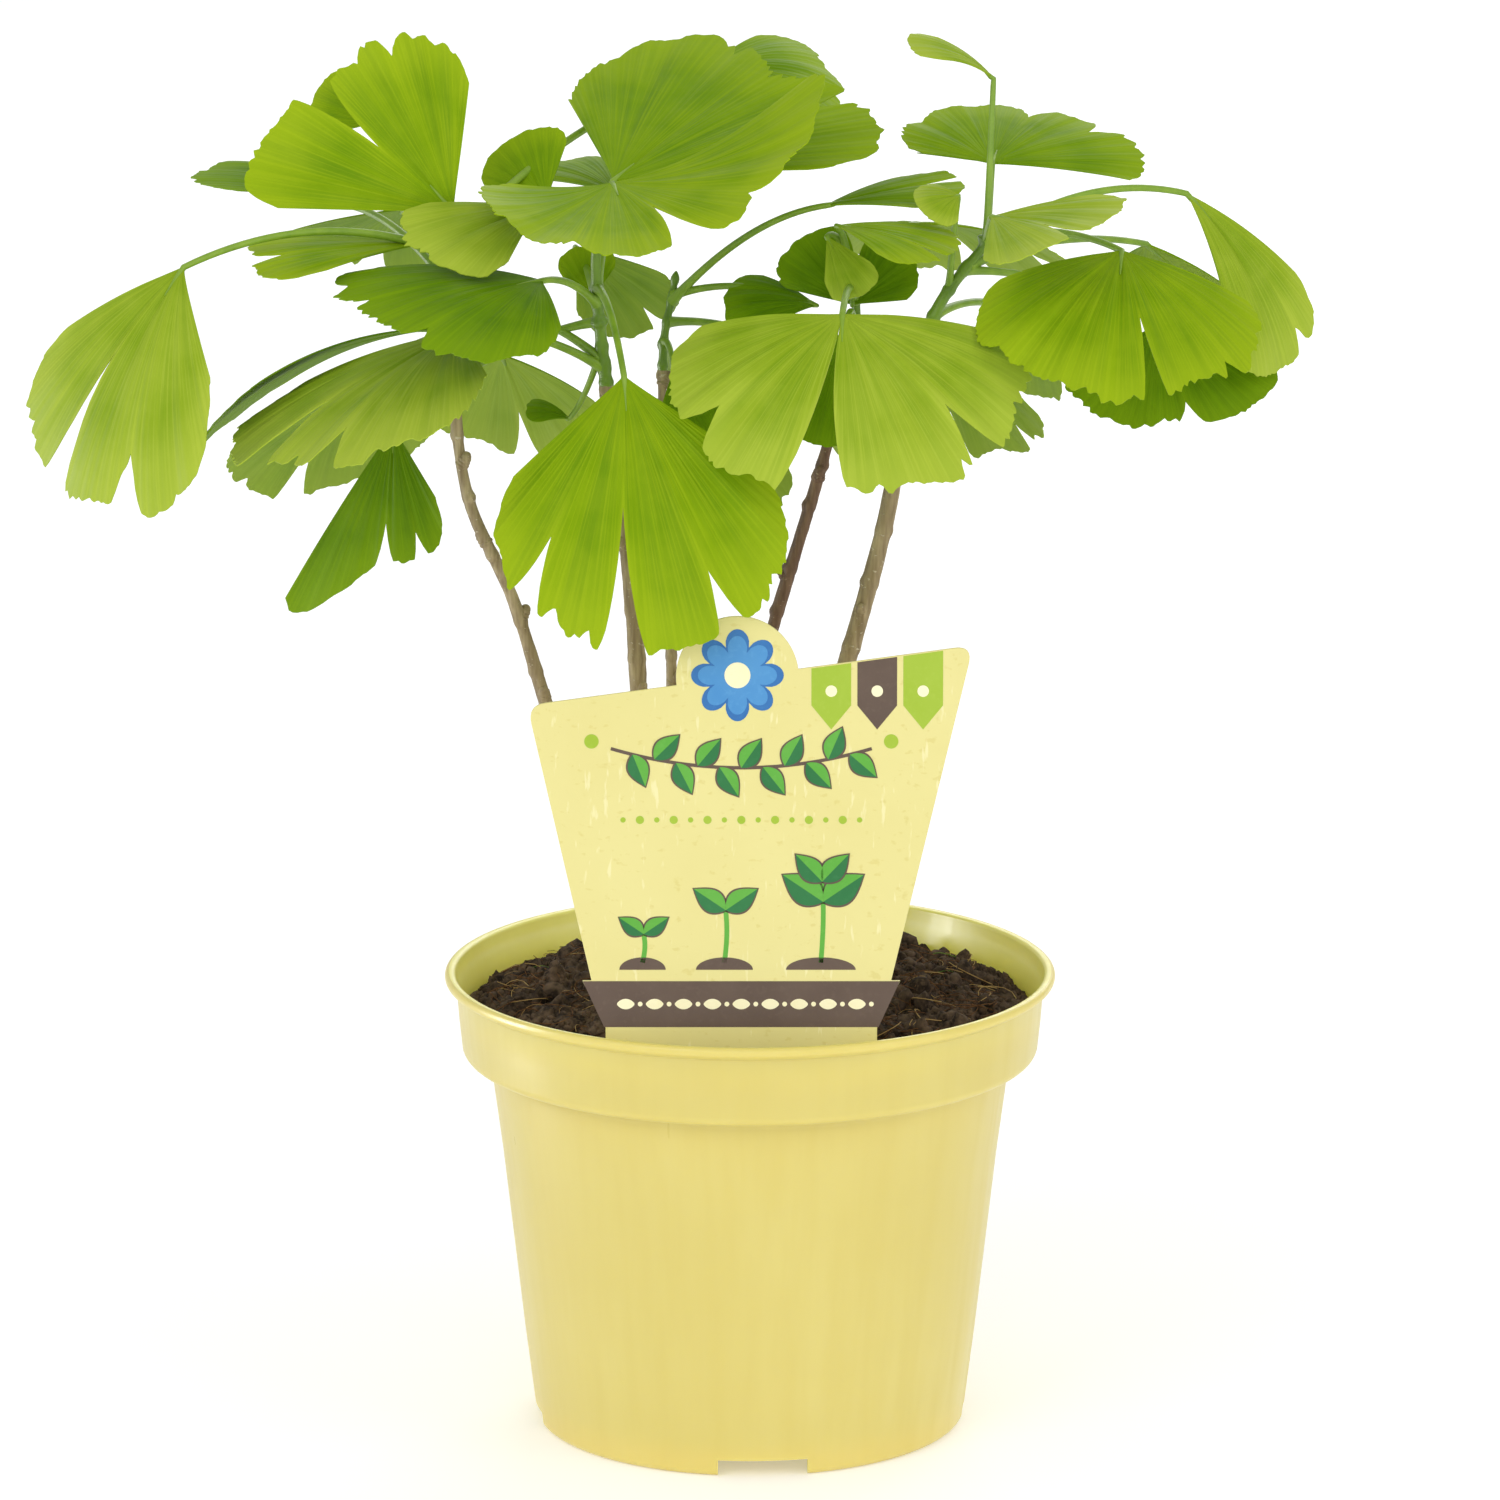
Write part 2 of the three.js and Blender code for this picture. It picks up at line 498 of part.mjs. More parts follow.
/** Part of a stem as a tapering tube. */
function stretch(stem, from, to, radiusAt) {
  const curve = stemCurve(stem);
  const count = Math.max(3, Math.round((curve.getLength() * (to - from)) / LIMB.step));
  const shares = Array.from({ length: count + 1 }, (_, i) => lerp(from, to, i / count));
  return tube(shares.map((u) => curve.getPointAt(u)), shares.map(radiusAt), LIMB.sides);
}

/** The woody part: tapered from a flared foot, cut level at the peat, with short spurs spiralling up it. */
function buildWood(stem) {
  const curve = stemCurve(stem);
  const [foot, top] = stem.radii;
  const length = curve.getLength();
  const floor = PEAT.plateauHeight + CLEARANCE;
  const start = (floor - stem.path[0][2]) / length;
  const radiusAt = (u) => lerp(foot, top, u / stem.wood)
    + stem.flare * Math.exp((-Math.max(u - start, 0) * length) / LIMB.flareLength);
  let wood = stretch(stem, 0, stem.wood, radiusAt);
  for (let i = 0; i < stem.spurs; i += 1) {
    const u = lerp(SPURS.first, stem.wood * SPURS.last, i / (stem.spurs - 1));
    const heading = rad(GOLDEN_ANGLE * i + SPURS.swing * stem.path[0][0]);
    const out = new THREE.Vector3(Math.cos(heading), Math.sin(heading), 0)
      .multiplyScalar(Math.cos(rad(SPUR.rise))).setZ(Math.sin(rad(SPUR.rise)));
    const root = curve.getPointAt(u);
    const end = root.clone().addScaledVector(out, SPUR.length);
    wood = wood.add(tube([root, end], SPUR.radii, SPUR.sides));
  }
  const below = new THREE.BoxGeometry(40, 40, 40).translate(stem.path[0][0], stem.path[0][1], floor - 20);
  return wood.subtract(solidOf(below));
}

/** The green shoot that goes on from the wood, a hair clear of it. */
function buildShoot(stem) {
  const start = shootStart(stem);
  const radiusAt = (u) => lerp(stem.radii[2], stem.radii[3], (u - start) / (1 - start));
  return stretch(stem, start, 1, radiusAt);
}

/** The share of a stem's length where its green shoot starts. */
function shootStart(stem) {
  return stem.wood + SHOOT_GAP / stemCurve(stem).getLength();
}

// ---------------------------------------------------------------- leaves

/** How far the blade reaches at a place t across its fan, from -1 to 1, as a share of its length. */
function reach(leaf, t) {
  const corner = t < 0 ? leaf.sides[0] : leaf.sides[1];
  const whole = (1 + (corner - 1) * t * t) * (1 - LEAF.rounding * t ** 8);
  return leaf.clefts.reduce((value, [place, depth, half]) => (
    value * (1 - depth * Math.max(0, 1 - Math.abs(t - place) / half))
  ), whole);
}

/** The blade's own frame: its length, the directions along, across and up at the apex. */
function bladeFrame(leaf) {
  const apex = point(leaf.apex);
  const chord = point(leaf.tip).sub(apex);
  const half = rad(leaf.droop) / 2;
  const length = half > 0 ? (chord.length() * half) / Math.sin(half) : chord.length();
  chord.normalize();
  const lean = across(point(leaf.face), chord);
  const along = chord.clone().multiplyScalar(Math.cos(half)).addScaledVector(lean, Math.sin(half));
  const up = lean.clone().multiplyScalar(Math.cos(half)).addScaledVector(chord, -Math.sin(half));
  return { apex, length, along, up, over: along.clone().cross(up) };
}

/** A place on the bent blade, `lift` above its middle surface: t across the fan, share of the way out. */
function bladePoint(leaf, frame, t, share, lift) {
  const theta = rad(leaf.spread / 2) * t;
  const r = frame.length * share;
  const bend = (distance, angle) => {
    const turn = (rad(angle) * distance) / frame.length;
    if (Math.abs(turn) < 1e-6) return [distance, 0, turn];
    return [(distance * Math.sin(turn)) / turn, (distance * (1 - Math.cos(turn))) / turn, turn];
  };
  const [x, sinkX, turnX] = bend(r * Math.sin(theta), leaf.cup);
  const [y, sinkY, turnY] = bend(r * Math.cos(theta), leaf.droop);
  return frame.apex.clone()
    .addScaledVector(frame.over, x + lift * Math.sin(turnX) * Math.cos(turnY))
    .addScaledVector(frame.along, y + lift * Math.cos(turnX) * Math.sin(turnY))
    .addScaledVector(frame.up, lift * Math.cos(turnX) * Math.cos(turnY) - sinkX - sinkY);
}

/** The places across the fan where the margin has a point: even steps, and three for each cleft. */
function marginPlaces(leaf) {
  const count = Math.max(4, Math.round(leaf.spread / LEAF.fanStep));
  const near = (t) => leaf.clefts.some(([place, , half]) => Math.abs(t - place) < half * 1.6);
  const even = Array.from({ length: count + 1 }, (_, i) => (2 * i) / count - 1);
  const cut = leaf.clefts.flatMap(([place, , half]) => [place - half, place, place + half]);
  return [...even.filter((t) => !near(t)), ...cut].sort((a, b) => a - b);
}

/** The blade as a thin closed shell. */
function blade(leaf, random) {
  const frame = bladeFrame(leaf);
  const places = marginPlaces(leaf);
  const reaches = places.map((t) => reach(leaf, t) * (1 + LEAF.tooth * (2 * random() - 1)));
  const points = [];
  const lifts = [LEAF.thickness / 2, -LEAF.thickness / 2];
  for (const lift of lifts) {
    points.push(bladePoint(leaf, frame, 0, 0, lift));
    for (const ring of LEAF.rings) {
      places.forEach((t, i) => points.push(bladePoint(leaf, frame, t, ring * reaches[i], lift)));
    }
  }
  const n = places.length;
  const rings = LEAF.rings.length;
  const under = 1 + n * rings;
  const at = (ring, i) => 1 + ring * n + i;
  const triangles = [];
  const face = (a, b, c) => {
    triangles.push(a, c, b);
    triangles.push(a + under, b + under, c + under);
  };
  const wall = (a, b) => triangles.push(a, b, b + under, a, b + under, a + under);
  for (let i = 0; i < n - 1; i += 1) {
    face(0, at(0, i), at(0, i + 1));
    for (let ring = 1; ring < rings; ring += 1) {
      face(at(ring - 1, i), at(ring, i), at(ring, i + 1));
      face(at(ring - 1, i), at(ring, i + 1), at(ring - 1, i + 1));
    }
    wall(at(rings - 1, i), at(rings - 1, i + 1));
  }
  const first = [0, ...LEAF.rings.map((_, ring) => at(ring, 0))];
  const final = [0, ...LEAF.rings.map((_, ring) => at(ring, n - 1))];
  for (let ring = 0; ring < rings; ring += 1) {
    wall(first[ring], first[ring + 1]);
    wall(final[ring + 1], final[ring]);
  }
  return solidOf(facets(points, triangles));
}

/** The stalk's middle line, from inside the shoot to a little way inside the blade. */
function stalkPath(leaf) {
  const stem = STEMS[leaf.stem];
  const start = shootStart(stem);
  const root = stemCurve(stem).getPointAt(lerp(start + LEAF.stalkEnds[0], 1 - LEAF.stalkEnds[1], leaf.from));
  const frame = bladeFrame(leaf);
  const middle = root.clone().lerp(frame.apex, 0.5).add(new THREE.Vector3(0, 0, 2 * leaf.rise));
  const arch = new THREE.QuadraticBezierCurve3(root, middle, frame.apex);
  const path = arch.getPoints(LEAF.stalkSteps);
  path.push(bladePoint(leaf, frame, 0, LEAF.stalkRoot / frame.length, 0));
  return path;
}

/** A leaf: its stalk and its blade. */
function buildLeaf(leaf, random) {
  const path = stalkPath(leaf);
  const radii = path.map((_, i) => lerp(...LEAF.stalkRadii, i / (path.length - 1)));
  return tube(path, radii, LEAF.stalkSides).add(blade(leaf, random));
}

/** Points spread over a leaf, to tell how near it comes to others. */
function samples(leaf) {
  const frame = bladeFrame(leaf);
  const points = stalkPath(leaf).slice(2);
  for (const t of [-1, -0.67, -0.33, 0, 0.33, 0.67, 1]) {
    for (const share of [0.3, 0.53, 0.77, 1]) points.push(bladePoint(leaf, frame, t, share, 0));
  }
  return points;
}

/** The leaves at the back of one stem, each kept only where it stands clear of all that is there already. */
function backLeaves(name, taken, random) {
  const between = ([low, high]) => lerp(low, high, random());
  const curve = stemCurve(STEMS[name]);
  const start = shootStart(STEMS[name]);
  const rows = BACK_LEAVES[name];
  const leaves = rows.map(([heading, stalk, lift, slope, length], i) => {
    const from = (i + 0.5) / rows.length;
    const out = new THREE.Vector3(Math.cos(rad(heading)), Math.sin(rad(heading)), 0);
    const apex = curve.getPointAt(lerp(start, 1, from)).addScaledVector(out, stalk);
    apex.z += lift;
    const along = out.clone().multiplyScalar(Math.cos(rad(slope))).setZ(-Math.sin(rad(slope)));
    return {
      name: `${name}_back_${i}`, stem: name, from, rise: 3,
      apex: apex.toArray(), tip: apex.clone().addScaledVector(along, length).toArray(),
      face: [out.x, out.y, 1.5], spread: between(BACK_LEAF.spread), sides: [0.8, 0.85],
      droop: between(BACK_LEAF.droop), cup: between(BACK_LEAF.cup),
      clefts: [[0.2 * random() - 0.1, between(BACK_LEAF.cleftDepth), 0.09], [0.55, 0.2, 0.07]],
    };
  });
  return leaves.filter((leaf) => {
    const cloud = samples(leaf);
    const clear = cloud.every((p) => taken.every((q) => p.distanceTo(q) > BACK_LEAF.room));
    if (clear) taken.push(...cloud);
    return clear;
  });
}

// ---------------------------------------------------------------- the plant

const COLOURS = { pot: "#e8dd86", peat: "#2f241c", card: "#f3ea9c", wood: "#8b7a5c", leaf: "#7fb51e" };

const taken = LEAVES.flatMap(samples);
for (const stem of Object.values(STEMS)) taken.push(...stemCurve(stem).getSpacedPoints(40));
const leaves = [...LEAVES];
const backRandom = seeded(BACK_LEAF.seed);
for (const name of Object.keys(STEMS)) leaves.push(...backLeaves(name, taken, backRandom));

const plant = new THREE.Group();
plant.add(meshOf("pot", buildPot(), COLOURS.pot, 0.4));
plant.add(meshOf("peat", buildPeat(), COLOURS.peat, 1));
plant.add(meshOf("label_card", buildCard(), COLOURS.card, 0.7));
for (const [name, stem] of Object.entries(STEMS)) {
  plant.add(meshOf(`stem_${name}`, cleaned(buildWood(stem)), COLOURS.wood, 0.9));
  const random = seeded(7);
  const solids = leaves.filter((leaf) => leaf.stem === name).map((leaf) => buildLeaf(leaf, random));
  const mass = solids.reduce((whole, solid) => whole.add(solid), buildShoot(stem));
  plant.add(meshOf(`leaves_${name}`, cleaned(mass), COLOURS.leaf, 0.6));
}

export default plant;
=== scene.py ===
"""A young ginkgo in a nursery pot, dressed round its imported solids.

Lengths are in millimetres until a mesh is written, in the frame of the solids: +Z up, the front faces -Y
and the origin is the middle of the pot's underside.
"""

import logging
import math
from collections.abc import Iterator, Sequence
from dataclasses import dataclass, field
from enum import Enum
from typing import NamedTuple

import bpy
import numpy as np
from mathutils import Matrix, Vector

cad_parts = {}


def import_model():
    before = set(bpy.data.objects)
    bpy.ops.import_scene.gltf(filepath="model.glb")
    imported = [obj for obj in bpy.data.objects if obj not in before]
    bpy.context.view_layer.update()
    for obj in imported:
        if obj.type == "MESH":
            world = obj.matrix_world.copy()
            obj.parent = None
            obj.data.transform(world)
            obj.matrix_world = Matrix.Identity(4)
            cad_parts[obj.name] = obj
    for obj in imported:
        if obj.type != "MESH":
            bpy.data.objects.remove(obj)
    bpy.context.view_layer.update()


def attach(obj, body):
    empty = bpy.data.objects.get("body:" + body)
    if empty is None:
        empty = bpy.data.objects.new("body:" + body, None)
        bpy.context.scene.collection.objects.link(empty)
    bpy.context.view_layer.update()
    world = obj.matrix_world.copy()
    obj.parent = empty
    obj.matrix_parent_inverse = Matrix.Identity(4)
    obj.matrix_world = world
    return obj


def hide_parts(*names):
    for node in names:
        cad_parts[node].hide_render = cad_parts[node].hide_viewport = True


MM = 0.001
ROOT = "root"
FIRST_SEED = 31
LOG = logging.getLogger("potted_ginkgo")

Array = np.ndarray
Colour = tuple[float, float, float]
Span = tuple[float, float]
Place = tuple[float, float, float]
Face = tuple[int, ...]
Material = bpy.types.Material
Piece = bpy.types.Object
Socket = bpy.types.NodeSocket


# ---------------------------------------------------------------- small helpers


def lerp(low: float | Array, high: float | Array, share: float | Array) -> float | Array:
    """The value a share of the way from low to high."""
    return low + (high - low) * share


def unit(direction: Array) -> Array:
    """The same direction at unit length."""
    return direction / np.linalg.norm(direction)


def across(direction: Array, axis: Array) -> Array:
    """A direction with its part along an axis taken away, at unit length."""
    return unit(direction - np.dot(direction, axis) * axis)


def paint(red: int, green: int, blue: int) -> Colour:
    """A linear colour from its usual 0 to 255 values."""
    shares = (value / 255 for value in (red, green, blue))
    return tuple(s / 12.92 if s <= 0.04045 else ((s + 0.055) / 1.055) ** 2.4 for s in shares)


def hump(distance: Array, width: float) -> Array:
    """A smooth hump of height one about a place, from the distances to it."""
    return np.exp(-((distance / width) ** 2))


def circle(count: int) -> Array:
    """Evenly spaced angles once round, in radians."""
    return np.arange(count) * 2 * np.pi / count


class Seeded:
    """The plant's own repeatable source of numbers from 0 to 1."""

    FACTOR = 16807
    MODULUS = 2147483647

    def __init__(self, seed: int) -> None:
        """Starts the row of numbers.

        Args:
            seed: Where the row starts.
        """
        self.state = seed

    def next(self) -> float:
        """The next number."""
        self.state = (self.state * self.FACTOR) % self.MODULUS
        return self.state / self.MODULUS

    def between(self, span: Span) -> float:
        """The next number, fitted between two limits."""
        return lerp(*span, self.next())


class Noise:
    """Smooth seeded noise over arrays of places, from -1 to 1."""

    TABLE = 4096
    STRIDES = (1, 157, 9973)
    SCRAMBLE = 2654435761
    SHIFT = 9

    def __init__(self, seed: int) -> None:
        """Fills the table of corner values.

        Args:
            seed: Two noises with one seed are alike.
        """
        self.values = np.random.default_rng(seed).uniform(-1.0, 1.0, self.TABLE)

    def at(self, x: Array | float, y: Array | float = 0.0, z: Array | float = 0.0) -> Array:
        """The noise at places one unit apart for neighbouring values.

        Args:
            x: First coordinates.
            y: Second coordinates.
            z: Third coordinates.

        Returns:
            One value for each place.
        """
        axes = np.broadcast_arrays(*(np.asarray(a, float) for a in (x, y, z)))
        cells = [np.floor(a).astype(np.int64) for a in axes]
        parts = [a - c for a, c in zip(axes, cells)]
        eased = [p * p * (3 - 2 * p) for p in parts]
        total = np.zeros(axes[0].shape)
        for corner in range(8):
            steps = [(corner >> k) & 1 for k in range(3)]
            key = sum((c + s) * stride for c, s, stride in zip(cells, steps, self.STRIDES))
            key = (key * self.SCRAMBLE >> self.SHIFT) & (self.TABLE - 1)
            weight = math.prod([e if s else 1 - e for e, s in zip(eased, steps)])
            total += weight * self.values[key]
        return total

    def fractal(self, x: Array, y: Array | float = 0.0, z: Array | float = 0.0, octaves: int = 3) -> Array:
        """The noise with finer noise added, each octave half as large.

        Args:
            x: First coordinates.
            y: Second coordinates.
            z: Third coordinates.
            octaves: How many sizes are added.

        Returns:
            One value for each place.
        """
        sizes = [2**k for k in range(octaves)]
        return sum(self.at(np.multiply(x, k) + k, np.multiply(y, k), np.multiply(z, k)) / k for k in sizes)


# ---------------------------------------------------------------- meshes


class Shell:
    """A mesh under construction, in millimetres, with a finish for each face and maps by point."""

    def __init__(self) -> None:
        """Starts with nothing."""
        self.points: list[Array] = []
        self.faces: list[Face] = []
        self.finishes: list[int] = []
        self.maps: dict[str, list[Array]] = {}
        self.count = 0

    def add(self, points: Array, faces: Sequence, finish: int | Sequence[int] = 0, **maps: Array) -> None:
        """Adds points and the faces between them.

        Args:
            points: Places, one row each.
            faces: Rows of point numbers, counted from the first of these points.
            finish: The finish of every face, or of each.
            maps: Flat map places by point, under the map's name.
        """
        self.faces.extend(tuple(int(i) + self.count for i in face) for face in faces)
        self.finishes.extend([finish] * len(faces) if isinstance(finish, int) else finish)
        self.points.append(np.asarray(points, float))
        for name, places in maps.items():
            self.maps.setdefault(name, []).append(places)
        self.count += len(points)

    def mesh(self, name: str, materials: Sequence[Material] = (), crease: float = 180) -> bpy.types.Mesh:
        """Writes the mesh, in metres.

        Args:
            name: The mesh's name.
            materials: One for each finish.
            crease: The angle in degrees past which an edge is sharp.

        Returns:
            The finished mesh.
        """
        mesh = bpy.data.meshes.new(name)
        mesh.from_pydata((np.concatenate(self.points) * MM).tolist(), [], self.faces)
        for material in materials:
            mesh.materials.append(material)
        mesh.polygons.foreach_set("material_index", self.finishes)
        corners = np.zeros(len(mesh.loops), np.int32)
        mesh.loops.foreach_get("vertex_index", corners)
        for title, places in self.maps.items():
            layer = mesh.uv_layers.new(name=title)
            layer.uv.foreach_set("vector", np.concatenate(places)[corners].astype(np.float32).ravel())
        mesh.shade_smooth()
        mesh.set_sharp_from_angle(angle=math.radians(crease))
        mesh.validate()
        return mesh

    def piece(self, name: str, materials: Sequence[Material] = (), crease: float = 40) -> Piece:
        """Writes the mesh and places it in the scene as an object at the origin."""
        return place(name, self.mesh(name, materials, crease))


def place(name: str, mesh: bpy.types.Mesh) -> Piece:
    """Places a mesh in the scene as an object at the origin."""
    piece = bpy.data.objects.new(name, mesh)
    bpy.context.scene.collection.objects.link(piece)
    return piece


def settle(piece: Piece) -> bpy.types.Mesh:
    """Gives a piece a plain mesh of what its modifiers make, without them."""
    mesh = bpy.data.meshes.new_from_object(piece.evaluated_get(bpy.context.evaluated_depsgraph_get()))
    piece.modifiers.clear()
    piece.data = mesh
    return mesh


def ring(radius: float, height: float, turn: Array) -> Array:
    """Points of a level ring about Z, one for each angle."""
    return np.column_stack([radius * np.cos(turn), radius * np.sin(turn), np.full(len(turn), height)])


def close(shell: Shell, poles: Array, rings: Sequence[Array]) -> None:
    """Adds a closed skin over rings of points, from a pole at one end to a pole at the other.

    Args:
        shell: Where it goes.
        poles: The two poles.
        rings: As many points in each, anticlockwise when seen from the last pole.
    """
    sides = len(rings[0])
    last = 2 + (len(rings) - 1) * sides
    faces: list[Face] = []
    for k in range(sides):
        after = (k + 1) % sides
        faces += [(0, 2 + after, 2 + k), (1, last + k, last + after)]
        faces += [(b + k, b + after, b + sides + after, b + sides + k) for b in range(2, last, sides)]
    shell.add(np.concatenate([poles, *rings]), faces)


def revolve(shell: Shell, profile: Sequence[Span], segments: int) -> None:
    """Adds a solid of revolution about Z.

    Args:
        shell: Where it goes.
        profile: Radius and height of each point, from the axis below, round the outside, back to the axis.
        segments: Facets round the axis.
    """
    turn = circle(segments)
    poles = np.array([[0, 0, profile[end][1]] for end in (0, -1)])
    close(shell, poles, [ring(radius, height, turn) for radius, height in profile[1:-1]])


def tube(shell: Shell, path: Array, radii: Array) -> None:
    """Adds a closed tube along a path.

    Args:
        shell: Where it goes.
        path: The middle line, one row for each ring.
        radii: One radius for each ring and side.
    """
    normal = np.array([0.2, 1.0, 0.1])
    turn = circle(radii.shape[1])
    rings = []
    for centre, tangent, radius in zip(path, np.gradient(path, axis=0), radii):
        tangent = unit(tangent)
        normal = across(normal, tangent)
        side = np.cross(tangent, normal)
        rings.append(centre + np.outer(radius * np.cos(turn), normal) + np.outer(radius * np.sin(turn), side))
    close(shell, path[[0, -1]], rings)


def prism(shell: Shell, outline: Sequence[Span], low: float, high: float) -> None:
    """Adds a flat plate: an outline in X and Y, anticlockwise, between two heights in Z."""
    flat = np.asarray(outline, float)
    n = len(flat)
    levels = [np.column_stack([flat, np.full(n, z)]) for z in (low, high)]
    walls = [(k, (k + 1) % n, n + (k + 1) % n, n + k) for k in range(n)]
    shell.add(np.concatenate(levels), [tuple(range(n - 1, -1, -1)), tuple(range(n, 2 * n)), *walls])


def arc(centre: Span, radius: float | Span, start: float, end: float, steps: int) -> list[Span]:
    """Points of an arc, both ends included.

    Args:
        centre: Its middle.
        radius: Its radius, or its two half axes.
        start: First angle in degrees, from +X towards +Y.
        end: Last angle in degrees.
        steps: How many chords it has.

    Returns:
        One point more than there are chords.
    """
    wide, tall = radius if isinstance(radius, tuple) else (radius, radius)
    angles = np.radians(np.linspace(start, end, steps + 1))
    return [(centre[0] + wide * math.cos(a), centre[1] + tall * math.sin(a)) for a in angles]


# ---------------------------------------------------------------- geometry node trees


class Tree:
    """A geometry node tree under construction, with named inputs."""

    SOCKETS = {float: "NodeSocketFloat", int: "NodeSocketInt", Material: "NodeSocketMaterial"}

    def __init__(self, name: str, **inputs: float | int | Material) -> None:
        """Makes the tree's interface.

        Args:
            name: The tree's name.
            inputs: Each named input with its value; its kind is the value's.
        """
        self.group = bpy.data.node_groups.new(name, "GeometryNodeTree")
        for way in ("INPUT", "OUTPUT"):
            self.group.interface.new_socket("Geometry", in_out=way, socket_type="NodeSocketGeometry")
        self.values = inputs
        for title, value in inputs.items():
            self.group.interface.new_socket(title, in_out="INPUT", socket_type=self.SOCKETS[type(value)])
        self.inputs = self.group.nodes.new("NodeGroupInput").outputs

    def node(self, kind: str, **settings: object) -> bpy.types.Node:
        """Adds a node.

        Args:
            kind: Its type, without the leading GeometryNode where it has one.
            settings: Properties, or inputs by name with spaces as underscores: a value or a socket.

        Returns:
            The new node.
        """
        known = kind if kind.startswith(("Shader", "Function")) else "GeometryNode" + kind
        node = self.group.nodes.new(known)
        sockets = {}
        for title, value in settings.items():
            if hasattr(node, title):
                setattr(node, title, value)
            else:
                sockets[title.replace("_", " ")] = value
        for title, value in sockets.items():
            socket = next(s for s in node.inputs if s.name == title and s.enabled)
            if isinstance(value, Socket):
                self.group.links.new(value, socket)
            else:
                socket.default_value = value
        return node

    def between(self, low: Place | Socket, high: Place | Socket) -> Socket:
        """A random value for each copy between two limits: three numbers, or one between two sockets."""
        kind, output = ("FLOAT_VECTOR", 0) if isinstance(high, tuple) else ("FLOAT", 1)
        draw = self.node("FunctionNodeRandomValue", data_type=kind, Min=low, Max=high,
                         Seed=self.inputs["Seed"])
        return draw.outputs[output]

    def scaled(self, vector: Socket, factor: Socket) -> Socket:
        """A vector times a number."""
        node = self.node("ShaderNodeVectorMath", operation="SCALE", Scale=factor)
        self.group.links.new(vector, node.inputs[0])
        return node.outputs[0]

    def strew(self, thing: Socket, turn: Socket, size: Socket) -> None:
        """Ends the tree in copies of a thing, strewn on its surface with its Density and Seed."""
        at = self.inputs
        spots = self.node("DistributePointsOnFaces", Mesh=at["Geometry"], Density=at["Density"],
                          Seed=at["Seed"]).outputs[0]
        strewn = self.node("InstanceOnPoints", Points=spots, Instance=thing, Rotation=turn, Scale=size)
        self.finish(strewn.outputs[0])

    def finish(self, geometry: Socket) -> None:
        """Ends the tree in smooth, real geometry dressed in its Finish."""
        smooth = self.node("SetShadeSmooth", Geometry=geometry)
        real = self.node("RealizeInstances", Geometry=smooth.outputs[0])
        dressed = self.node("SetMaterial", Geometry=real.outputs[0], Material=self.inputs["Finish"])
        end = self.group.nodes.new("NodeGroupOutput")
        self.group.links.new(dressed.outputs[0], end.inputs[0])

    def grown(self, name: str, base: bpy.types.Mesh) -> Piece:
        """Grows the tree on a mesh and returns the result as a plain object.

        Args:
            name: The new piece's name.
            base: The mesh that goes in; it is removed afterwards.

        Returns:
            A mesh object at the origin with no modifier.
        """
        piece = place(name, base)
        modifier = piece.modifiers.new("grow", "NODES")
        modifier.node_group = self.group
        for item in self.group.interface.items_tree:
            if item.in_out == "INPUT" and item.name in self.values:
                modifier[item.identifier] = self.values[item.name]
        bpy.context.view_layer.update()
        settle(piece).name = name
        bpy.data.meshes.remove(base)
        return piece


def limb_tree(sides: int, material: Material) -> Tree:
    """A tree that turns a wire mesh into tapering closed limbs.

    Args:
        sides: Facets round a limb.
        material: Their finish.

    Returns:
        The tree; it reads each point's radius in metres from the attribute limb_radius.
    """
    tree = Tree("tapering_limbs", Sides=sides, Finish=material)
    line = tree.node("MeshToCurve", Mesh=tree.inputs["Geometry"])
    radius = tree.node("InputNamedAttribute", data_type="FLOAT", Name="limb_radius")
    section = tree.node("CurvePrimitiveCircle", Resolution=tree.inputs["Sides"], Radius=1.0)
    skin = tree.node("CurveToMesh", Curve=line.outputs[0], Profile_Curve=section.outputs[0], Fill_Caps=True,
                     Scale=radius.outputs["Attribute"])
    tree.finish(skin.outputs[0])
    return tree


def crumb_tree(density: float, smallest: float, largest: float, fineness: int, seed: int,
               material: Material) -> Tree:
    """A tree that strews uneven crumbs on a surface.

    Args:
        density: Crumbs on a square metre.
        smallest: Their least radius in metres.
        largest: Their greatest radius in metres.
        fineness: Subdivisions of a crumb.
        seed: Where they fall.
        material: Their finish.

    Returns:
        The tree.
    """
    tree = Tree("crumbs", Density=density, Smallest=smallest, Largest=largest, Fineness=fineness, Seed=seed,
                Finish=material)
    ball = tree.node("MeshIcoSphere", Radius=1.0, Subdivisions=tree.inputs["Fineness"])
    rough = tree.node("ShaderNodeTexNoise", Scale=1.4, Detail=2.0)
    push = tree.scaled(tree.node("InputNormal").outputs[0], rough.outputs[0])
    lump = tree.node("SetPosition", Geometry=ball.outputs[0], Offset=push)
    squash = tree.between((0.5, 0.5, 0.35), (1.3, 1.0, 0.9))
    size = tree.scaled(squash, tree.between(tree.inputs["Smallest"], tree.inputs["Largest"]))
    tree.strew(lump.outputs[0], tree.between((0.0, 0.0, 0.0), (6.28, 6.28, 6.28)), size)
    return tree


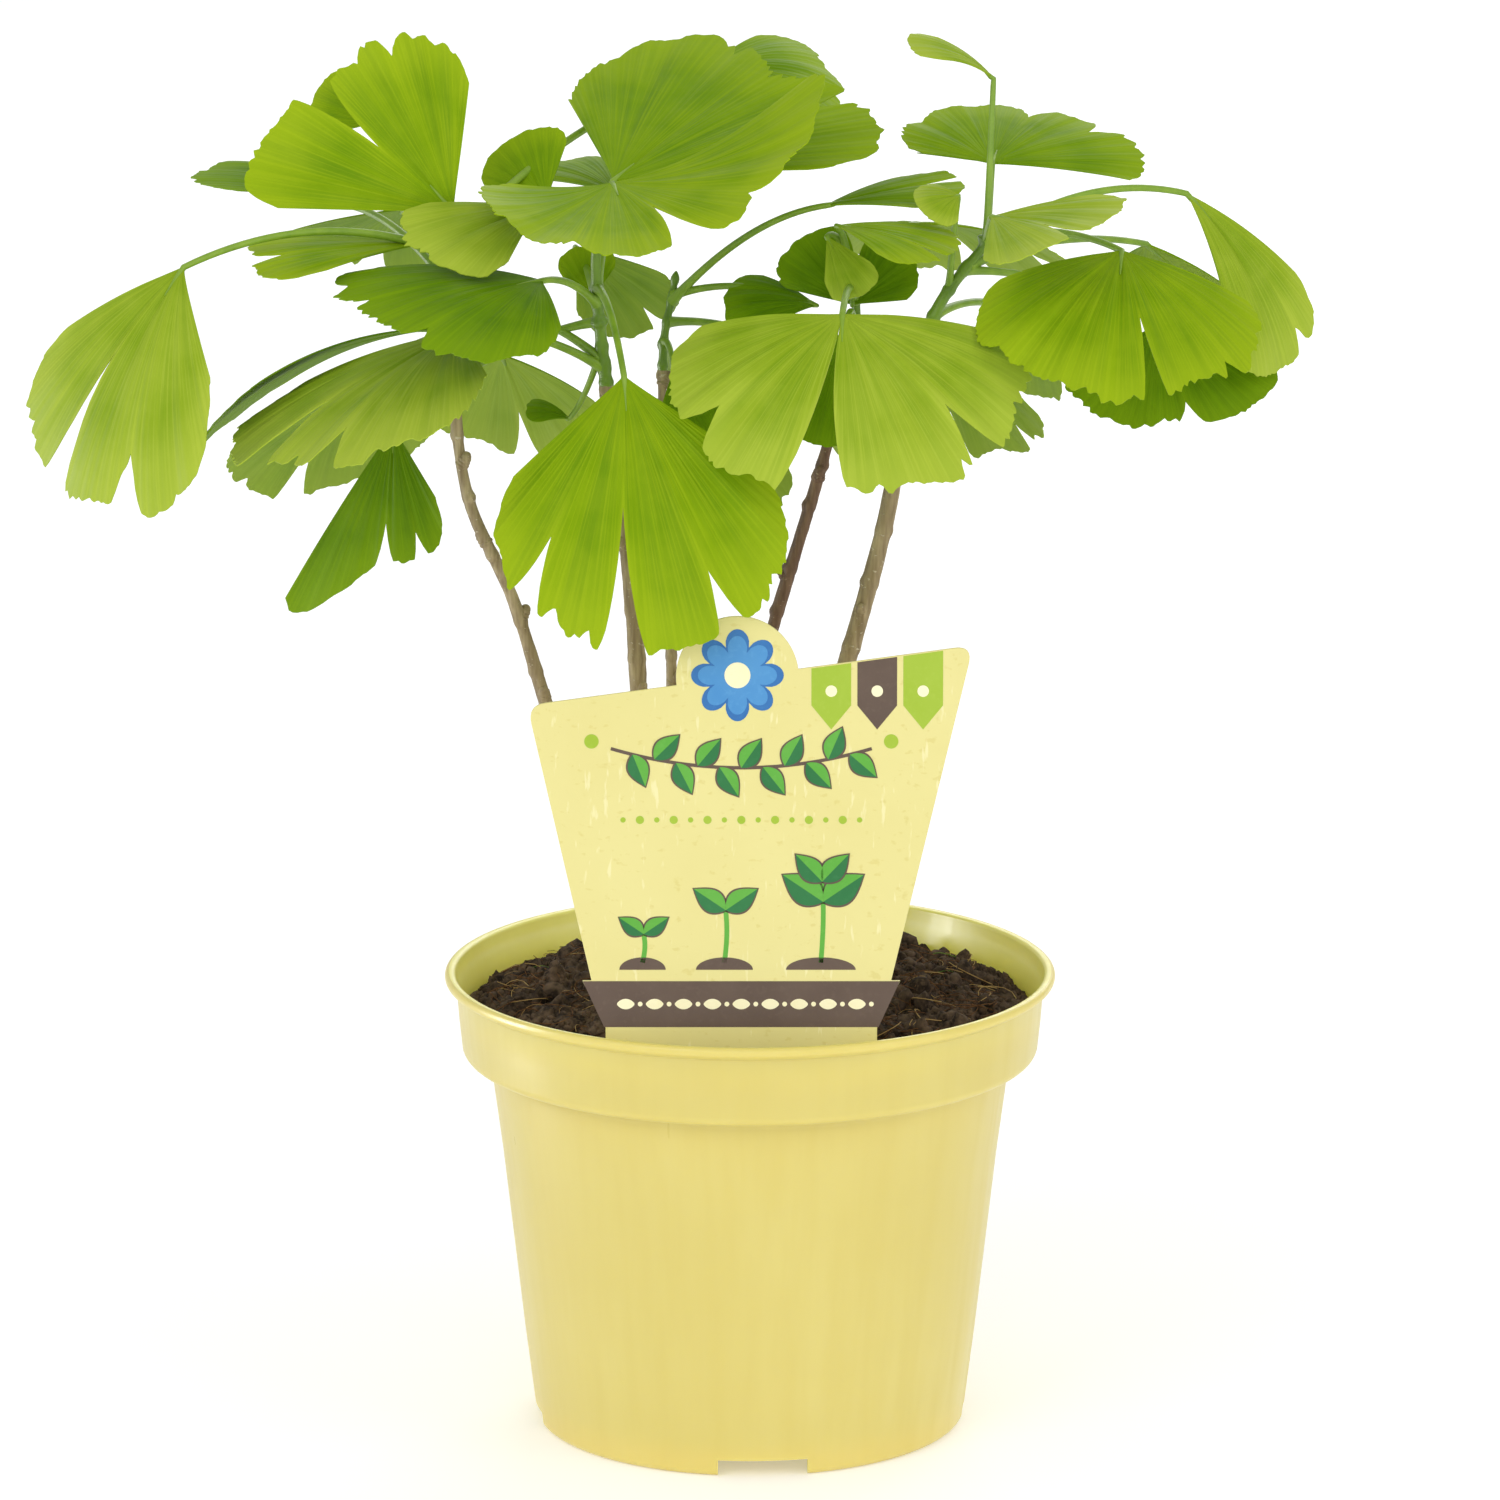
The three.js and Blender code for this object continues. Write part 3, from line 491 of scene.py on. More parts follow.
def fibre_tree(density: float, shortest: float, longest: float, thickness: float, seed: int,
               material: Material) -> Tree:
    """A tree that strews thin bent fibres on a surface.

    Args:
        density: Fibres on a square metre.
        shortest: Their least length in metres.
        longest: Their greatest length in metres.
        thickness: A fibre's radius as a share of its length.
        seed: Where they fall.
        material: Their finish.

    Returns:
        The tree.
    """
    tree = Tree("fibres", Density=density, Shortest=shortest, Longest=longest, Thickness=thickness, Seed=seed,
                Finish=material)
    bow = tree.node("CurveQuadraticBezier", Resolution=5, Start=(-0.45, 0, 0), Middle=(0.05, 0.5, 0.3),
                    End=(0.45, -0.1, 0.04))
    section = tree.node("CurvePrimitiveCircle", Resolution=4, Radius=tree.inputs["Thickness"])
    straw = tree.node("CurveToMesh", Curve=bow.outputs[0], Profile_Curve=section.outputs[0], Fill_Caps=True)
    tree.strew(straw.outputs[0], tree.between((-0.35, -0.45, 0.0), (0.35, 0.45, 6.28)),
               tree.between(tree.inputs["Shortest"], tree.inputs["Longest"]))
    return tree


# ---------------------------------------------------------------- finishes


GRAIN_INPUTS = ("Vector", "Scale", "Detail", "Contrast", "Level")


def grain_group() -> bpy.types.NodeTree:
    """The shared shader group that makes a mask and a height of one noise, made once."""
    name = "grain"
    if name in bpy.data.node_groups:
        return bpy.data.node_groups[name]
    group = bpy.data.node_groups.new(name, "ShaderNodeTree")
    for title in GRAIN_INPUTS:
        kind = "NodeSocketVector" if title == "Vector" else "NodeSocketFloat"
        group.interface.new_socket(title, in_out="INPUT", socket_type=kind)
    for title in ("Mask", "Height"):
        group.interface.new_socket(title, in_out="OUTPUT", socket_type="NodeSocketFloat")
    kinds = ("NodeGroupInput", "NodeGroupOutput", "ShaderNodeTexNoise", "ShaderNodeMath", "ShaderNodeMath")
    start, end, noise, offset, gain = (group.nodes.new(kind) for kind in kinds)
    offset.operation = "SUBTRACT"
    gain.operation, gain.use_clamp = "MULTIPLY_ADD", True
    gain.inputs[2].default_value = 0.5
    for source, target in (
            *((start.outputs[title], noise.inputs[title]) for title in GRAIN_INPUTS[:3]),
            (noise.outputs[0], offset.inputs[0]), (start.outputs["Level"], offset.inputs[1]),
            (offset.outputs[0], gain.inputs[0]), (start.outputs["Contrast"], gain.inputs[1]),
            (gain.outputs[0], end.inputs["Mask"]), (noise.outputs[0], end.inputs["Height"])):
        group.links.new(source, target)
    return group


class Grain(NamedTuple):
    """What the shared grain group puts out."""

    mask: Socket
    height: Socket


class Surface:
    """A material under construction: one Principled surface and the nodes that feed it."""

    def __init__(self, name: str, roughness: float, specular: float = 0.5,
                 **plain: float | tuple[float, ...]) -> None:
        """Starts the material.

        Args:
            name: Its name.
            roughness: Its roughness where nothing feeds it.
            specular: Its specular level.
            plain: Other Principled inputs by name, with spaces as underscores.
        """
        self.material = bpy.data.materials.new(name)
        self.material.use_nodes = True
        self.tree = self.material.node_tree
        self.shader = self.tree.nodes["Principled BSDF"]
        for title, value in {"Roughness": roughness, "Specular IOR Level": specular, **plain}.items():
            self.shader.inputs[title.replace("_", " ")].default_value = value

    def node(self, kind: str, **settings: object) -> bpy.types.Node:
        """Adds a shader node and sets its properties."""
        node = self.tree.nodes.new("ShaderNode" + kind)
        for title, value in settings.items():
            setattr(node, title, value)
        return node

    def feed(self, value: object, socket: Socket) -> None:
        """Links a socket, or sets a plain value or colour."""
        if isinstance(value, Socket):
            self.tree.links.new(value, socket)
        elif isinstance(value, tuple):
            socket.default_value = (*value, 1.0)[:len(socket.default_value)]
        else:
            socket.default_value = value

    def places(self, stretch: Place = (1, 1, 1), leaf_map: str = "") -> Socket:
        """Coordinates for a pattern, stretched along each axis: the piece's own, in metres, or its map."""
        if leaf_map:
            source = self.node("UVMap", uv_map=leaf_map).outputs[0]
        else:
            source = self.node("TexCoord").outputs["Object"]
        mapping = self.node("Mapping")
        self.feed(stretch, mapping.inputs["Scale"])
        self.feed(source, mapping.inputs["Vector"])
        return mapping.outputs[0]

    def grain(self, scale: float, stretch: Place = (1, 1, 1), contrast: float = 3.0, level: float = 0.5,
              detail: float = 3.0, leaf_map: str = "") -> Grain:
        """Adds the shared grain group.

        Args:
            scale: Its frequency.
            stretch: The share of that along each axis.
            contrast: How steeply the mask goes from 0 to 1.
            level: The noise that gives a mask of one half.
            detail: How much fine noise it has.
            leaf_map: The piece's own map to read, or nothing for its own space in metres.

        Returns:
            Its mask and its height.
        """
        node = self.tree.nodes.new("ShaderNodeGroup")
        node.node_tree = grain_group()
        places = self.places(stretch, leaf_map)
        for title, value in zip(GRAIN_INPUTS, (places, scale, detail, contrast, level)):
            self.feed(value, node.inputs[title])
        return Grain(*node.outputs)

    def blend(self, share: object, first: object, second: object) -> Socket:
        """A colour between two others, each a colour or a socket."""
        node = self.node("Mix", data_type="RGBA")
        for value, socket in ((share, 0), (first, 6), (second, 7)):
            self.feed(value, node.inputs[socket])
        return node.outputs[2]

    def ramp(self, value: Socket, ends: Span, span: Span = (0, 1)) -> Socket:
        """A value fitted smoothly from a span to two ends."""
        node = self.node("MapRange", interpolation_type="SMOOTHSTEP")
        titles = ("Value", "From Min", "From Max", "To Min", "To Max")
        for title, number in zip(titles, (value, *span, *ends)):
            self.feed(number, node.inputs[title])
        return node.outputs[0]

    def wash(self, tint: object, grain: Grain, colour: Colour, most: float, least: float = 0,
             span: Span = (0, 1)) -> Socket:
        """A tint with a colour over it where a grain's mask is, from a least share to a most."""
        return self.blend(self.ramp(grain.mask, (least, most), span), tint, colour)

    def done(self, colour: object, *heights: tuple[Socket, float],
             roughness: Socket | None = None) -> Material:
        """Feeds the surface and returns the material.

        Args:
            colour: The base colour, plain or a socket.
            heights: Sockets with the height in metres that a value of one stands for.
            roughness: A socket for it, or nothing where it is plain.

        Returns:
            The finished material.
        """
        self.feed(colour, self.shader.inputs["Base Color"])
        if roughness is not None:
            self.feed(roughness, self.shader.inputs["Roughness"])
        target = self.shader.inputs["Normal"]
        for height, depth in reversed(heights):
            bump = self.node("Bump")
            self.feed(depth, bump.inputs["Distance"])
            self.feed(height, bump.inputs["Height"])
            self.feed(bump.outputs[0], target)
            target = bump.inputs["Normal"]
        return self.material


@dataclass(frozen=True)
class MouldedPlastic:
    """Smooth moulded plastic, with faint upright flow lines and a soft gloss."""

    name: str = "pot_plastic"
    colour: Colour = paint(230, 213, 127)
    deep: Colour = paint(222, 202, 109)

    def build(self) -> Material:
        """Makes the material."""
        s = Surface(self.name, 0.32, 0.5, Subsurface_Weight=0.35, Subsurface_Scale=0.006,
                    Subsurface_Radius=(1.0, 0.9, 0.5))
        upright = s.grain(190, (1, 1, 0.03), contrast=1.6)
        cloud = s.grain(28, contrast=1.2, detail=2)
        skin = s.grain(900, contrast=1)
        tint = s.blend(cloud.mask, self.deep, self.colour)
        tint = s.wash(tint, upright, self.deep, 0.55, span=(0.2, 0.9))
        return s.done(tint, (upright.height, 0.00004), (skin.height, 0.00001),
                      roughness=s.ramp(upright.mask, (0.27, 0.38)))


@dataclass(frozen=True)
class Board:
    """Coated pale yellow board with short paler and darker fibres in it."""

    colour: Colour = paint(232, 223, 150)
    speck: Colour = paint(216, 202, 118)
    pale: Colour = paint(246, 239, 186)

    def build(self) -> Material:
        """Makes the material."""
        s = Surface("card_board", 0.48, 0.4)
        specks = s.grain(420, (1, 1, 1.6), contrast=9, level=0.66)
        threads = s.grain(310, (2.4, 1, 0.5), contrast=9, level=0.68)
        tint = s.wash(self.colour, s.grain(45, contrast=1), self.speck, 0.35)
        tint = s.wash(s.wash(tint, specks, self.speck, 0.5), threads, self.pale, 0.6)
        return s.done(tint, (specks.height, 0.00002))


@dataclass(frozen=True)
class Ink:
    """Printing ink, with the paper's grain showing a little through it."""

    name: str
    colour: Colour
    worn: Colour

    def build(self) -> Material:
        """Makes the material."""
        s = Surface("ink_" + self.name, 0.42, 0.45)
        grain = s.grain(900, contrast=5, level=0.62)
        tint = s.wash(self.colour, s.grain(110, (1, 1, 0.7), contrast=1.4), self.worn, 0.6)
        return s.done(s.wash(tint, grain, self.worn, 0.35), (grain.height, 0.00001))


@dataclass(frozen=True)
class Earth:
    """Loose organic matter: dark crumbs, or the fibres in it."""

    name: str
    dark: Colour
    light: Colour
    scale: float = 420
    depth: float = 0.0004

    def build(self) -> Material:
        """Makes the material."""
        s = Surface(self.name, 0.95, 0.12)
        clods = s.grain(self.scale, contrast=3.5)
        dust = s.grain(self.scale * 3, contrast=5, level=0.58)
        tint = s.blend(clods.mask, self.dark, self.light)
        tint = s.wash(tint, s.grain(self.scale / 6, contrast=3), self.dark, 0.6)
        return s.done(s.wash(tint, dust, self.light, 0.35), (clods.height, self.depth),
                      (dust.height, self.depth / 6))


@dataclass(frozen=True)
class Bark:
    """Young bark: grey-brown, with darker upright cracks and small pale pores."""

    name: str
    colour: Colour = paint(190, 172, 134)
    shade: Colour = paint(136, 118, 86)
    pore: Colour = paint(214, 202, 174)

    def build(self) -> Material:
        """Makes the material."""
        s = Surface(self.name, 0.72, 0.3)
        cracks = s.grain(900, (1, 1, 0.10), contrast=3.2)
        pores = s.grain(700, (1, 1, 1.6), contrast=14, level=0.68)
        tint = s.blend(cracks.mask, self.shade, self.colour)
        tint = s.wash(tint, s.grain(190, (1, 1, 0.5), contrast=2.6), self.shade, 0.55)
        return s.done(s.wash(tint, pores, self.pore, 0.7), (cracks.height, 0.00025),
                      (pores.mask, 0.0001))


@dataclass(frozen=True)
class GreenStem:
    """The skin of green shoots and stalks: smooth, with a fine mottle."""

    name: str
    colour: Colour
    shade: Colour

    def build(self) -> Material:
        """Makes the material."""
        s = Surface(self.name, 0.42, 0.45)
        mottle = s.grain(260, (1, 1, 0.6), contrast=2.2)
        fine = s.grain(1500, contrast=3)
        tint = s.wash(s.blend(mottle.mask, self.shade, self.colour), fine, self.colour, 0.2)
        return s.done(tint, (fine.height, 0.00004))


class Tone(Enum):
    """The greens of the leaves, dealt out leaf by leaf: partly their own, partly painted light and shade, the
    dark tones going to leaves that sit in shade and the light tone to lit ones.
    """

    FRESH = 0
    LIGHT = 1
    DEEP = 2
    DARK = 3


@dataclass(frozen=True)
class LeafSkin:
    """One side of a blade: veins fanned out from the stalk, broad streaks between them that are partly
    painted shade of the blade's folds, a paler margin and a soft waxy sheen.
    """

    name: str
    colour: Colour
    shade: Colour
    margin: Colour
    roughness: float = 0.58

    def build(self) -> Material:
        """Makes the material. Its map runs across the fan in U and from the stalk to the margin in V."""
        s = Surface(self.name, self.roughness, 0.08)
        veins = s.grain(34, (1, 0.012, 1), contrast=3.4, detail=2, leaf_map="fan")
        fold_shade_streaks = s.grain(9, (1, 0.05, 1), contrast=2.8, detail=2, leaf_map="fan")
        lines = s.grain(75, (1, 0.02, 1), contrast=6, level=0.56, detail=1, leaf_map="fan")
        clouds = s.grain(90, contrast=2)
        split = s.node("SeparateXYZ")
        s.feed(s.places(leaf_map="fan"), split.inputs[0])
        # The broad streaks from shade to colour are partly painted shade: the soft light and dark bands of
        # the blade's folds.
        tint = s.wash(s.wash(self.shade, fold_shade_streaks, self.colour, 0.78, 0.12), veins, self.shade, 0.35)
        tint = s.wash(s.wash(tint, lines, self.margin, 0.3), clouds, self.margin, 0.3)
        tint = s.blend(s.ramp(split.outputs["Y"], (0, 0.55), (0.62, 1.02)), tint, self.margin)
        rough = s.ramp(fold_shade_streaks.mask, (self.roughness - 0.06, self.roughness + 0.08))
        return s.done(tint, (veins.height, 0.00007), (clouds.height, 0.0004), roughness=rough)


def skins(suffix: str, roughness: float, *rows: tuple[Tone, Colour, Colour, Colour]) -> dict[Tone, LeafSkin]:
    """One side's skins by tone, each with its colour, its shade and its margin."""
    return {tone: LeafSkin(f"leaf_{tone.name.lower()}{suffix}", *colours, roughness)
            for tone, *colours in rows}


# The tones are partly painted light and shade: darker greens for leaves in shade, lighter greens for lit
# leaves.
UPPER = skins(
    "", 0.58,
    (Tone.FRESH, paint(131, 164, 1), paint(100, 139, 1), paint(163, 187, 26)),
    (Tone.LIGHT, paint(149, 174, 34), paint(119, 152, 18), paint(179, 197, 68)),
    (Tone.DEEP, paint(122, 158, 2), paint(92, 132, 1), paint(150, 178, 18)),
    (Tone.DARK, paint(104, 144, 2), paint(78, 118, 1), paint(130, 164, 12)))
UNDER = skins(
    "_under", 0.6,
    (Tone.FRESH, paint(152, 180, 62), paint(128, 160, 50), paint(170, 192, 78)),
    (Tone.LIGHT, paint(164, 188, 76), paint(140, 170, 62), paint(180, 200, 90)),
    (Tone.DEEP, paint(136, 166, 54), paint(112, 146, 44), paint(154, 180, 66)),
    (Tone.DARK, paint(110, 144, 44), paint(88, 122, 34), paint(130, 162, 56)))
INKS = (
    Ink("blue", paint(36, 104, 172), paint(60, 128, 190)),
    Ink("sky", paint(64, 138, 200), paint(92, 160, 212)),
    Ink("brown", paint(90, 72, 60), paint(108, 90, 76)),
    Ink("lime", paint(158, 188, 40), paint(172, 198, 66)),
    Ink("leaf_green", paint(84, 168, 48), paint(108, 182, 72)),
    Ink("deep_green", paint(24, 110, 52), paint(48, 128, 70)),
    Ink("cream", paint(252, 246, 206), paint(246, 238, 186)),
)


# ---------------------------------------------------------------- pot


@dataclass
class Pot:
    """The stepped nursery pot with its rolled lip, recessed base and notched foot ring."""

    height: float = 99
    rim_radius: float = 65
    lip_height: float = 2.2
    lip_width: float = 2.3
    lip_inset: float = 2.2
    lip_rounding: float = 0.7
    lip_neck: float = 0.9
    lip_taper: float = 9
    collar_depth: float = 18
    collar_radius: float = 61.4
    shoulder_radius: float = 55.2
    foot_radius: float = 46
    rounding: float = 2
    fillet: float = 3
    wall: float = 1.5
    recess: float = 3.8
    base_thickness: float = 1.6
    foot_ring: float = 3
    pad_radius: float = 9
    segments: int = 200
    crease: float = 32
    notch_count: int = 4
    notch_width: float = 19
    notch_heading: float = -86.5
    drain_count: int = 8
    drain_radius: float = 3
    drain_pitch: float = 27

    @property
    def step(self) -> float:
        """The height of the step under the collar."""
        return self.height - self.collar_depth

    @property
    def floor(self) -> float:
        """The height of the base inside."""
        return self.recess + self.base_thickness

    def radius(self, z: float) -> float:
        """The radius of the outer wall at a height, without its lip and roundings."""
        if z < self.step:
            return lerp(self.foot_radius, self.shoulder_radius, z / self.step)
        return lerp(self.collar_radius, self.rim_radius - self.lip_inset, (z - self.step) / self.collar_depth)

    def inner(self, z: float) -> float:
        """The radius of the inner wall at a height."""
        return self.radius(z) - self.wall

    def profile(self) -> list[Span]:
        """Radius and height from the middle of the pad, round the outside, to the middle of the floor."""
        lip = self.lip_height / 2
        neck = self.height - self.lip_height - self.lip_neck
        mouth = self.rim_radius - self.lip_width
        edge = self.foot_radius - self.foot_ring
        soft = 0.5
        return [
            (0, 0), *arc((self.pad_radius - soft, soft), soft, -90, 0, 3), (self.pad_radius, self.recess),
            (edge, self.recess), *arc((edge + soft, soft), soft, 180, 270, 3),
            *arc((self.foot_radius - self.rounding, self.rounding), self.rounding, -90, 0, 8),
            *[(self.radius(z), z) for z in (20, 40, 60)],
            *arc((self.shoulder_radius + self.fillet, self.step - self.fillet), self.fillet, 180, 90, 8),
            *arc((self.collar_radius - self.rounding, self.step + self.rounding), self.rounding, -90, 0, 8),
            *[(self.radius(z), z) for z in (self.step + 8, neck - 0.5)], (self.radius(neck) + 0.15, neck),
            *arc((self.rim_radius - lip, self.height - lip), lip, -60, 75, 14),
            *arc((mouth + self.lip_rounding, self.height - 0.85), self.lip_rounding, 90, 180, 5),
            *[(lerp(mouth, self.inner(self.height - self.lip_taper), s),
               self.height - self.lip_neck - (self.lip_taper - self.lip_neck) * s)
              for s in (0.1, 0.4, 0.7, 1)],
            (self.inner(self.step + 2), self.step + 2), (self.inner(self.step - 0.1), self.step - 0.9),
            *[(self.inner(z), z) for z in (60, 30, self.floor + 2)],
            (self.inner(self.floor) - 1.5, self.floor), (0, self.floor),
        ]

    def cutters(self) -> Piece:
        """The blocks and rods that the notches and drain holes leave."""
        shell = Shell()
        reach = self.foot_radius - self.foot_ring / 2
        half = self.notch_width / 2
        for i in range(self.notch_count):
            turn = math.radians(self.notch_heading + 360 / self.notch_count * i)
            along = np.array([math.cos(turn), math.sin(turn)])
            side = np.array([-along[1], along[0]])
            box = ((-5, -half), (5, -half), (5, half), (-5, half))
            corners = [along * (reach + x) + side * y for x, y in box]
            prism(shell, corners, -self.recess, self.recess)
        for i in range(self.drain_count):
            turn = math.radians(360 / self.drain_count * (i + 0.5))
            centre = (self.drain_pitch * math.cos(turn), self.drain_pitch * math.sin(turn))
            prism(shell, arc(centre, self.drain_radius, 0, 360, 32)[:-1], self.recess - 2, self.floor + 2)
        return shell.piece("cutters")

    def build(self, plastic: Material, inside: Material) -> Piece:
        """Makes the pot's shell.

        Args:
            plastic: Its finish.
            inside: The finish of the faces that look towards the axis: the same plastic painted paler, a
                painted glow that stands in for light coming through the thin wall.

        Returns:
            The finished piece.
        """
        shell = Shell()
        revolve(shell, self.profile(), self.segments)
        piece = shell.piece("pot_shell", [plastic, inside], crease=self.crease)
        cutters = self.cutters()
        cut = piece.modifiers.new("notches_and_drains", "BOOLEAN")
        cut.operation, cut.solver, cut.object = "DIFFERENCE", "EXACT", cutters
        mesh = settle(piece)
        mesh.set_sharp_from_angle(angle=math.radians(self.crease))
        for face in mesh.polygons:
            # Faces that look towards the axis take the inside finish: plastic painted paler, a painted glow
            # for light coming through the wall.
            face.material_index = int(face.normal.xy.dot(face.center.xy) < 0)
        bpy.data.objects.remove(cutters)
        return piece


# ---------------------------------------------------------------- peat


@dataclass
class Peat:
    """The peat in the pot: a rough bed with loose crumbs and fibres strewn on it."""

    pot: Pot
    plateau_height: float = 94.6
    plateau_radius: float = 32
    edge_height: float = 90.5
    heap: tuple[float, float, float, float] = (-20, 6, 17, 3.2)
    lump: float = 1.2
    clod: Span = (7, 0.9)
    crumb: Span = (2.1, 0.9)
    grain: Span = (0.7, 0.22)
    settled: float = 0.5
    rings: int = 84
    segments: int = 300
    gap: float = 0.3

    def smooth(self, x: Array, y: Array) -> Array:
        """The bed's height without its fine roughness."""
        edge = self.pot.inner(self.edge_height) - self.gap
        out = np.clip((np.hypot(x, y) - self.plateau_radius) / (edge - self.plateau_radius), 0, 1)
        lumps = np.sin(0.31 * x + 1.7) * np.sin(0.27 * y + 0.4) + 0.5 * np.sin(0.55 * x - 0.41 * y)
        heap_x, heap_y, spread, rise = self.heap
        heap = rise * hump(np.hypot(x - heap_x, y - heap_y), spread)
        flat = lerp(self.plateau_height, self.edge_height, out * out)
        return flat + self.lump * lumps * np.minimum(3 * out, 1) + heap

    def rough(self, x: Array, y: Array) -> Array:
        """The bed's height with its clods and crumbs."""
        (clod, high), (crumb, tall), (grain, fine) = self.clod, self.crumb, self.grain
        clods = high * Noise(21).fractal(x / clod, y / clod, octaves=2)
        crumbs = tall * np.abs(Noise(22).fractal(x / crumb, y / crumb, octaves=3))
        grains = fine * Noise(23).at(x / grain, y / grain)
        return self.smooth(x, y) + clods + crumbs + grains - self.settled

    def top(self, margin: float) -> tuple[Array, list[Face]]:
        """The rough top as points and faces: rings from the rim inwards, and the middle point last.

        Args:
            margin: How far it stops short of the bed's own edge.

        Returns:
            The points, one row each, and the faces between them.
        """
        n = self.segments
        edge = self.pot.inner(self.edge_height) - self.gap - margin
        radii = edge * np.sqrt(np.linspace(1, 0, self.rings + 1)[:-1])
        turn = circle(n)
        x, y = np.append(np.outer(radii, np.cos(turn)), 0), np.append(np.outer(radii, np.sin(turn)), 0)
        faces: list[Face] = []
        for k in range(n):
            after = (k + 1) % n
            faces += [(b + k, b + after, b + n + after, b + n + k) for b in range(0, n * (self.rings - 1), n)]
            faces.append((n * (self.rings - 1) + k, n * (self.rings - 1) + after, n * self.rings))
        return np.column_stack([x, y, self.rough(x, y)]), faces

    def bed(self) -> Shell:
        """The closed bed: its rough top, its side down the pot's wall and its flat base."""
        points, faces = self.top(0)
        n, low, step = self.segments, self.pot.floor + self.gap, self.pot.step
        wide, narrow = (self.pot.inner(z) - self.gap for z in (step + 3, step - 2))
        sizes = ((wide, step + 3), (narrow, step + 2), (narrow, step - 2), (self.pot.inner(low) - 2, low))
        walls = [ring(radius, height, circle(n)) for radius, height in sizes]
        starts = [0, *range(len(points), len(points) + n * len(walls), n)]
        skirt = [(b + k, b + (k + 1) % n, a + (k + 1) % n, a + k) for a, b in zip(starts, starts[1:])
                 for k in range(n)]
        base = [(starts[-1] + (k + 1) % n, starts[-1] + k, starts[-1] + n) for k in range(n)]
        shell = Shell()
        shell.add(np.concatenate([points, *walls, [[0, 0, low]]]), faces + skirt + base)
        return shell

    def build(self, peat: Material, straw: Material, root: Material, moss: Material) -> list[Piece]:
        """Makes the bed, its crumbs and its fibres.

        Args:
            peat: The finish of bed and crumbs.
            straw: The finish of the pale fibres.
            root: The finish of the brown fibres.
            moss: The finish of the few green blades.

        Returns:
            The pieces, the bed first.
        """
        pieces = [self.bed().piece("peat_bed", [peat], crease=80)]
        strewn = [
            ("peat_crumbs", 1.8, crumb_tree(330000.0, 0.0003, 0.0010, 1, 5, peat)),
            ("peat_clods", 3.5, crumb_tree(20000.0, 0.0009, 0.0022, 2, 6, peat)),
            ("peat_straws", 7.0, fibre_tree(13000.0, 0.004, 0.013, 0.009, 7, straw)),
            ("peat_roots", 6.0, fibre_tree(80000.0, 0.003, 0.010, 0.012, 8, root)),
            ("peat_moss", 8.0, fibre_tree(1000.0, 0.004, 0.009, 0.014, 9, moss)),
        ]
        for name, margin, tree in strewn:
            crust = Shell()
            crust.add(*self.top(margin))
            pieces.append(tree.grown(name, crust.mesh(name + "_ground")))
        return pieces


# ---------------------------------------------------------------- label card


